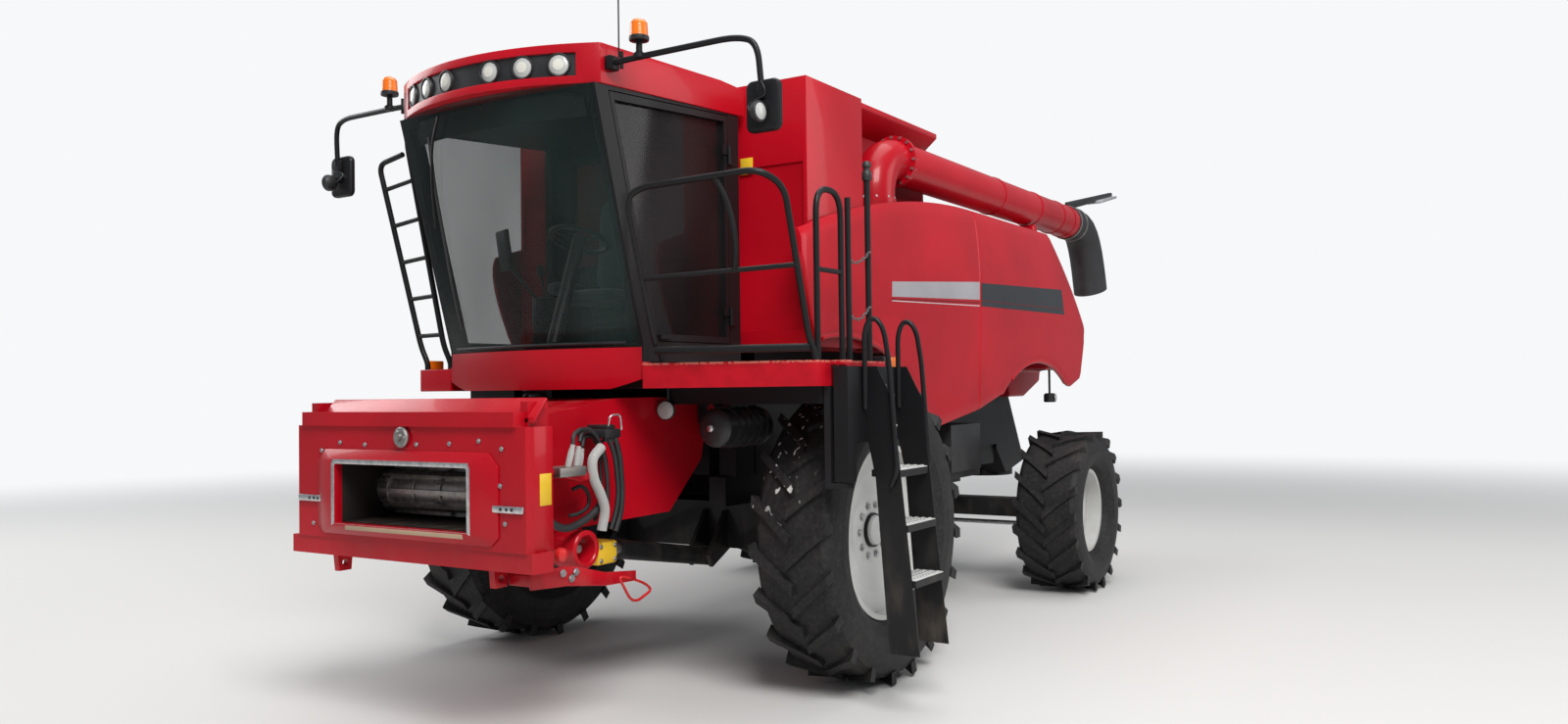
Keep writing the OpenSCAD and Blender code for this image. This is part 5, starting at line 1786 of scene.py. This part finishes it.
@dataclass
class FacePlate(SubAssembly):
    """Throat collar and lining, hook guard, latch blocks, side walls and drum bands of the feeder's front."""

    face: float = 2450
    half: float = 525
    low: float = 1160
    high: float = 1490
    rim: tuple = ((140, -65), (190, -20), (190, 10), (120, 80))
    lip: tuple = ((26, -14), (26, 0), (26, 0), (12, 26))
    edge: tuple = ((0, 0), (0, 8), (0, -8), (-8, 0))
    hook: tuple = ((2391, 1716), (2391, 1748), (2302, 1847), (2288, 1836))
    latches: tuple = (("left", 630, 890), ("right", -885, -640))
    latch_hole: tuple = ((0, 0), (0.009, 0), (0.009, 0.002), (0.007, 0.0025), (0, 0.0025))
    liners: tuple = (
        ("left", (1960, 518, 1162), (2443, 523, 1488)), ("right", (1960, -523, 1162), (2443, -518, 1488)),
        ("top", (1960, -518, 1484), (2443, 518, 1489)), ("floor", (1960, -518, 1161), (2443, 518, 1166)),
    )
    axle: tuple = (2100, 0, 1325)
    ring_bands: tuple = (
        (-540, 0.132), (-430, 0.121), (-215, 0.121), (0, 0.121), (215, 0.121), (430, 0.121), (524, 0.132),
    )
    strands: tuple = (-437, -7, 423)

    def build(self) -> None:
        """Makes the pieces on the faceplate."""
        self.collar()
        red = ("feeder", "red_paint")
        self.add(cut_plate("hook_guard", self.hook, -770, 1.674, 0.006), *red)
        for side in Side:
            inner, outer = sorted((side.value * 876, side.value * 896))
            self.block(f"{side.word}_face_wall", (2250, inner, 1070), (2392, outer, 1700), 0.004, *red)
        for word, y0, y1 in self.latches:
            low, high = (self.face - 1, y0, 1270), (self.face + 16, y1, 1306)
            self.block(f"{word}_latch_block", low, high, 0.004, "feeder", "bare_steel", "bright_steel")
            holes = []
            for k in (0.42, 0.58, 0.72):
                centre = mm(self.face + 15.5, y0 + (y1 - y0) * k, 1288)
                holes.append(lathe("hole", self.latch_hole, facing(centre, AHEAD), 18))
            self.add(join(f"{word}_latch_holes", holes), "feeder", "black_plastic")
        self.drum()

    def loop(self, x: float, corners: tuple) -> list[Vector]:
        """Eight points round the throat.

        Args:
            x: place along the machine in millimetres.
            corners: how far each of the left side's four corners, from below, stands out from the throat's
                side and up from its lower or upper edge.

        Returns:
            The points, once round from the lowest on the right.
        """
        left = [(self.half + out, (self.low, self.high)[i // 2] + up) for i, (out, up) in enumerate(corners)]
        right = [(-y, z) for y, z in left]
        return [mm(x, y, z) for y, z in (right[0], *left, *right[:0:-1])]

    def collar(self) -> None:
        """Raised eight-sided collar round the throat, its dark lining and its scraped sill."""
        x0, x1 = self.face - 1, self.face + 44
        shape = ((x0, self.rim), (x0 + 10, self.rim), (x1, self.lip), (x1, self.edge), (x0, self.edge))
        verts = [point for x, corners in shape for point in self.loop(x, corners)]
        obj = round_edges(mesh_object("throat_collar", verts, ring_faces(len(shape), 8, True)), 0.003)
        obj.data.materials.append(self.finishes["red_paint"])
        obj.data.materials.append(self.finishes["bright_steel"])
        worn = mm(x1 - 1, 0, self.low - 4)
        for polygon in obj.data.polygons:
            if polygon.center.x > worn.x and polygon.center.z > worn.z:
                polygon.material_index = 1
        self.add(obj, "feeder", "red_paint")
        for name, low, high in self.liners:
            self.block(f"throat_{name}_liner", low, high, 0.001, "feeder", "red_paint", "throat_steel")
        low, high = (x1 - 8, -430, 1128), (x1 + 2, 495, 1152)
        self.block("throat_sill", low, high, 0.002, "feeder", "bare_steel", "scraped_paint")

    def drum(self) -> None:
        """Ring bands and strand teeth of the drum in the throat."""
        axle, hole = mm(*self.axle), 0.108
        rings = []
        for y, r in self.ring_bands:
            profile = [(hole, 0), (r, 0), (r + 0.002, 0.003), (r + 0.002, 0.013), (r, 0.016), (hole, 0.016)]
            rings.append(lathe("ring", profile, facing(axle + LEFTWARD * (y / 1000), LEFTWARD), 44))
        self.add(join("drum_rings", rings), "feeder", "bare_steel", "worn_steel")
        for y in self.strands:
            where = facing(axle + LEFTWARD * (y / 1000), LEFTWARD)
            teeth = self.hardware.teeth.grow(f"strand_teeth_{y - self.strands[0]}", where)
            self.add(teeth, "feeder", "bare_steel")


@dataclass
class Rails(SubAssembly):
    """Deck rails, rung guard, ladder hoops and mirror arms in bent tube, and the lamp housing."""

    rail: float = 0.018
    deck: tuple = (
        ("front_rail", 90, 1.0, (
            (1360, 905, 2030), (1360, 905, 2075), (1440, 915, 2140), (1700, 935, 2930),
            (1670, 1010, 2990), (1540, 1700, 3035), (1400, 1775, 2960), (1160, 1775, 2140),
            (1100, 1775, 2075), (1100, 1775, 2030),
        )),
        ("rail_middle", 10, 0.8, ((1560, 925, 2500), (1285, 1775, 2545))),
        ("rail_toe_bar", 10, 1.25, ((1436, 917, 2100), (1150, 1775, 2100))),
        ("rail_brace", 80, 0.8, (
            (1587, 1451, 3018), (1550, 1498, 2902), (1510, 1512, 2784), (1460, 1500, 2660),
            (1394, 1439, 2527),
        )),
        ("gate_hoop", 90, 1.0, (
            (1070, 1775, 2030), (1070, 1775, 2930), (1000, 1775, 3000), (860, 1775, 3000), (790, 1775, 2930),
            (790, 1775, 2030),
        )),
        ("gate_rung", 10, 0.8, ((1070, 1775, 2540), (790, 1775, 2540))),
        ("gate_post", 10, 1.0, ((705, 1775, 2030), (705, 1775, 2985))),
        ("tall_post", 10, 1.05, ((410, 1750, 2030), (410, 1750, 3200))),
        ("guard_front", 70, 1.0, (
            (1370, -1060, 2030), (1370, -1060, 2075), (1380, -1110, 2180), (1480, -1400, 3420),
            (1490, -1150, 3460),
        )),
        ("guard_back", 70, 1.0, (
            (1370, -840, 2030), (1370, -840, 2075), (1400, -870, 2180), (1490, -1110, 3540),
            (1560, -1000, 3640), (1640, -870, 3640),
        )),
    )
    rungs: int = 5
    hoops: tuple = (("rear", 314), ("front", 742))
    hoop: tuple = (
        (60, 1924, 1750), (60, 1924, 2180), (40, 1944, 2260), (30, 1990, 2265), (20, 2030, 2200),
        (0, 2050, 2010), (0, 2090, 1400), (0, 2050, 1310),
    )
    arm: tuple = (
        (1690, 811, 3700), (1690, 1000, 3705), (1600, 1605, 3738), (1572, 1728, 3700), (1552, 1740, 3440),
    )
    knob: tuple = (
        (0, 0), (0.026, 0), (0.030, 0.006), (0.030, 0.054), (0.026, 0.06), (0.020, 0.062), (0.020, 0.078),
        (0.027, 0.084), (0.028, 0.102), (0.018, 0.118), (0, 0.122),
    )
    housings: tuple = (
        ("lamp_housing", (92, 1712, 1985), (304, 1792, 2062)),
        ("housing_bracket", (250, 1722, 1900), (345, 1782, 1990)),
    )

    def build(self) -> None:
        """Makes the rails and the housing."""
        for name, reach, share, points in self.deck:
            obj = tube(name, bent_path(route(points), reach / 1000), self.rail * share, 16)
            self.black(obj, "deck_rails")
        self.guard()
        for name, x in self.hoops:
            path = bent_path([mm(x + ahead, y, z) for ahead, y, z in self.hoop], 0.06)
            self.black(tube(f"{name}_hand_hoop", path, 0.015, 14), "ladder_rails", "side_ladder")
        self.arms()
        knob = lathe("post_knob", self.knob, facing(mm(410, 1750, 3130), UP), 24)
        self.add(knob, "chassis", "black_paint", "black_plastic")
        for name, low, high in self.housings:
            self.block(name, low, high, 0.008, "chassis", "black_paint")

    def black(self, obj: bpy.types.Object, node: str, body: str = "chassis") -> None:
        """Paints a piece black and lets it stand for a node."""
        self.add(obj, body, "black_paint", node=node)

    def guard(self) -> None:
        """Rungs of the guard at the right of the windscreen."""
        rungs = []
        for i in range(self.rungs):
            t = i / self.rungs + 0.06
            a = mm(1380 + 100 * t, -1110 - 290 * t, 2180 + 1240 * t)
            b = mm(1400 + 90 * t, -870 - 240 * t, 2180 + 1280 * t)
            rungs.append(tube("rung", [a, b], self.rail * 0.8, 12))
        self.black(join("guard_rungs", rungs), "deck_rails")

    def arms(self) -> None:
        """Mirror arms, beacon stands and the whip aerial."""
        top = (BEACON_Z - ARM_Z) / 1000
        stand = [
            (0, -0.004), (0.030, -0.004), (0.034, 0), (0.034, 0.02), (0.018, 0.035), (0.018, top - 0.02),
            (0.044, top - 0.012), (0.044, top), (0, top),
        ]
        for side in Side:
            s = side.value
            low, high = sorted((s * 810, s * 860))
            parts = [
                tube("arm", bent_path([mm(x, s * y, z) for x, y, z in self.arm], 0.11), 0.017, 14),
                lathe("stand", stand, facing(mm(1690, s * 1030, ARM_Z), UP), 24),
                box_piece("clamp", mm(1650, low, 3660), mm(1730, high, 3740), 0.01),
                tube("pin", route([(1690, s * 905, 3660), (1690, s * 905, 3755)]), 0.011, 10),
            ]
            self.black(join(f"{side.word}_mirror_arm", parts), "mirror_arms")
        whip = tube("whip_aerial", route([(1660, 860, 3738), (1660, 860, 4295)]), 0.0045, 8)
        self.black(whip, "mirror_arms")


@dataclass
class Lamps(SubAssembly):
    """Roof lamps, work lamps, beacons, turn lamps and tail lamps."""

    angles: tuple[float, ...] = (-24, -15.5, -7, 7, 15.5, 24)
    rim: tuple = (
        (0.058, -0.020), (0.068, -0.020), (0.070, 0.006), (0.067, 0.013), (0.061, 0.014), (0.058, 0.008),
    )
    lens: tuple = ((0, -0.018), (0.059, -0.018), (0.059, 0.003), (0.048, 0.010), (0.026, 0.015), (0, 0.016))
    bulb: tuple = ((0, 0.0145), (0.030, 0.0135), (0.032, 0.0155), (0.020, 0.0172), (0, 0.018))
    work_shell: tuple = (
        (0, -0.006), (0.040, -0.004), (0.056, 0.012), (0.060, 0.034), (0.056, 0.038), (0, 0.038),
    )
    work_lens: tuple = (
        (0, 0.030), (0.054, 0.030), (0.053, 0.040), (0.036, 0.047), (0.018, 0.050), (0, 0.051),
    )
    rear_pot: tuple = ((0, 0), (0.050, 0), (0.058, 0.008), (0.058, 0.07), (0.044, 0.088), (0, 0.09))
    rear_lens: tuple = ((0, 0), (0.044, 0), (0.042, 0.006), (0.024, 0.011), (0, 0.012))
    crown: tuple = ((0.044, 0.090), (0.034, 0.102), (0.018, 0.109), (0, 0.110))
    foot: tuple = (
        (0, -0.012), (0.054, -0.012), (0.056, -0.006), (0.056, 0.010), (0.052, 0.014), (0, 0.014),
    )
    amber: tuple = (
        ("left_turn_lamp", (96, 1790, 1988), (246, 1802, 2058)),
        ("left_turn_lamp_end", (88, 1730, 1988), (150, 1796, 2062)),
        ("right_turn_lamp", (1240, -1090, 2031), (1360, -1050, 2090)),
        ("left_tail_lamp", (HOOD_X0 - 20, 1000, 2370), (HOOD_X0 - 1, 1160, 2470)),
        ("right_tail_lamp", (HOOD_X0 - 20, -1160, 2370), (HOOD_X0 - 1, -1000, 2470)),
    )

    def build(self) -> None:
        """Makes all the lamps."""
        self.roof()
        self.work()
        self.rear()
        self.beacons()
        for name, low, high in self.amber:
            self.show(box_piece(name, mm(*low), mm(*high), 0.007), "lamp_amber", "amber_lamps")

    def show(self, obj: bpy.types.Object, slot: str, node: str | None = None) -> None:
        """Lets a lamp piece ride on the chassis and, where it does, stand for a node."""
        self.add(obj, "chassis", slot, node=node)

    def roof(self) -> None:
        """Rims, lenses and bright cores of the roof lamps."""
        rims, lenses, bulbs = [], [], []
        for angle in self.angles:
            a = math.radians(angle)
            way = Vector((math.cos(a), math.sin(a), 0))
            where = facing(mm(520, 0, 3690) + way * 1.4665, way)
            for made, profile in ((rims, self.rim), (lenses, self.lens), (bulbs, self.bulb)):
                made.append(lathe("lamp", profile, where, 36))
        self.show(join("roof_lamp_rims", rims), "black_plastic")
        self.show(join("roof_lamp_lenses", lenses), "lamp_clear", "clear_lamps")
        self.add(join("roof_lamp_bulbs", bulbs), "chassis", "lamp_clear", "lamp_core")

    def work(self) -> None:
        """The round work lamp under the deck."""
        where = facing(mm(996, 660, 1750), Vector((1, 0.25, 0)))
        self.show(lathe("work_lamp_shell", self.work_shell, where, 32), "black_plastic")
        self.show(lathe("work_lamp_lens", self.work_lens, where, 32), "lamp_clear", "clear_lamps")
        stem = tube("work_lamp_stem", route([(992, 660, 1780), (992, 660, 1884)]), 0.010, 10)
        self.show(stem, "black_plastic")

    def rear(self) -> None:
        """The two lamps that hang under the rear hood."""
        for side in Side:
            y, x = side.value * 1190, -4420
            stem = tube("stem", route([(x, y, HOOD_STEP + 2), (x, y, HOOD_STEP - 236)]), 0.011, 10)
            pot = lathe("pot", self.rear_pot, facing(mm(x, y, HOOD_STEP - 320), UP), 28)
            self.show(join(f"{side.word}_rear_lamp", [stem, pot]), "black_plastic", "clear_lamps")
            where = facing(mm(x - 10, y + side.value * 54, HOOD_STEP - 275), Vector((-0.2, side.value, 0)))
            self.show(lathe(f"{side.word}_rear_lamp_lens", self.rear_lens, where, 24), "lamp_clear")

    def beacons(self) -> None:
        """Ribbed amber domes on the mirror arms."""
        dome = [(0, 0), (0.052, 0)]
        dome += [(0.052 - 0.0022 * (i % 2) - 0.0004 * i, 0.006 + 0.0075 * i) for i in range(11)]
        dome += self.crown
        for side in Side:
            where = facing(mm(1690, side.value * 1030, BEACON_Z), UP)
            self.show(lathe(f"{side.word}_beacon", dome, where, 36), "lamp_amber", "amber_lamps")
            self.show(lathe(f"{side.word}_beacon_base", self.foot, where, 36), "black_plastic")


@dataclass
class Stage:
    """Floor, lights and the camera at the photograph's place."""

    eye: Vector = field(default_factory=lambda: place(6.605, 5.029, 1.878))
    yaw: float = math.radians(212.14)
    pitch: float = math.radians(1.28)
    roll: float = math.radians(-0.79)

    @property
    def sight(self) -> Sight:
        """The photograph's view."""
        return Sight(self.eye, self.yaw, self.pitch, self.roll)

    def camera(self) -> None:
        """Makes the camera."""
        sight = self.sight
        data = bpy.data.cameras.new("view")
        data.sensor_width = SENSOR_MM
        data.lens = FOCAL_PX / PHOTO_WIDTH * SENSOR_MM
        data.clip_end = 200.0
        obj = linked("view", data)
        columns = (sight.right, sight.up, -sight.ahead, sight.eye)
        obj.matrix_world = Matrix([[column[i] for column in columns] for i in range(3)] + [[0, 0, 0, 1]])
        bpy.context.scene.camera = obj

    @staticmethod
    def lamp(name: str, where: Vector, at: Vector, power: float, size: float) -> None:
        """Hangs a square area lamp that looks at a point."""
        data = bpy.data.lights.new(name, "AREA")
        data.energy = power
        data.size = size
        obj = linked(name, data)
        obj.location = where
        obj.rotation_euler = (at - where).to_track_quat("-Z", "Y").to_euler()

    def build(self) -> None:
        """Makes the camera, lights, floor and background."""
        bpy.context.scene.view_settings.view_transform = "Standard"
        self.camera()
        middle = Vector((1.0, 0.0, 1.8))
        for name, where, power, size in (
            ("key", (10.0, 9.0, 13.0), 2600.0, 7.0),
            ("side", (-6.0, 13.0, 7.0), 450.0, 8.0),
            ("far", (4.0, -14.0, 9.0), 900.0, 8.0),
            ("top", (0.0, 0.0, 16.0), 1200.0, 12.0),
        ):
            self.lamp(name, Vector(where), middle, power, size)
        self.world()
        self.floor()

    @staticmethod
    def world() -> None:
        """Sets a soft grey sky that the camera sees as white."""
        world = bpy.data.worlds.new("studio")
        bpy.context.scene.world = world
        world.use_nodes = True
        tree = world.node_tree
        tree.nodes.clear()
        light = add_node(tree, "ShaderNodeBackground", {}, {"Color": SKY_LIGHT, "Strength": 0.32})
        seen = add_node(tree, "ShaderNodeBackground", {}, {"Color": SKY_SEEN, "Strength": 1.0})
        rays = add_node(tree, "ShaderNodeLightPath", {}, {}, "Is Camera Ray")
        blend = add_node(tree, "ShaderNodeMixShader", {}, {0: rays, 1: light, 2: seen})
        out = tree.nodes.new("ShaderNodeOutputWorld")
        tree.links.new(blend, out.inputs["Surface"])

    @staticmethod
    def floor() -> None:
        """Lays a plain pale floor that fades into the background."""
        size = 60.0
        corners = [(-size, -size, 0), (size, -size, 0), (size, size, 0), (-size, size, 0)]
        floor = mesh_object("floor", corners, [(0, 1, 2, 3)])
        s = Shader("floor_grey")
        s.set(Base_Color=(0.62, 0.61, 0.59, 1.0), Roughness=0.85)
        far = s.node("ShaderNodeVectorMath", {"operation": "LENGTH"}, {0: s.coords}, "Value").ramp(8.0, 24.0)
        rays = s.node("ShaderNodeLightPath", {}, {}, "Is Camera Ray")
        glow = s.node("ShaderNodeEmission", {}, {"Color": SKY_SEEN, "Strength": 1.0})
        both = s.node("ShaderNodeMixShader", {}, {0: far * rays, 1: s.surface.outputs[0], 2: glow})
        out = next(n for n in s.tree.nodes if n.type == "OUTPUT_MATERIAL")
        s.tree.links.new(both.socket, out.inputs["Surface"])
        floor.data.materials.append(s.material)


def main() -> None:
    """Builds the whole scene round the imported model."""
    logging.basicConfig(level=logging.INFO, format="%(message)s")
    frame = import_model()
    slots = {s["node"]: s["material_slot"] for s in frame["record"]["subparts"]}
    finishes = Finishes()
    stage = Stage()
    stage.build()
    shared = (finishes, Hardware(finishes), stage.sight, frame["nodes"], slots)
    for kind in (
        Solids, Softened, Feeder, FacePlate, Rails, Lamps, Wheels, Shields, Cab, Access, Unloader,
    ):
        part = kind(*shared)
        part.build()
        log.info("%s: %d pieces", kind.__name__, len(part.made))


if __name__ == "__main__":
    main()
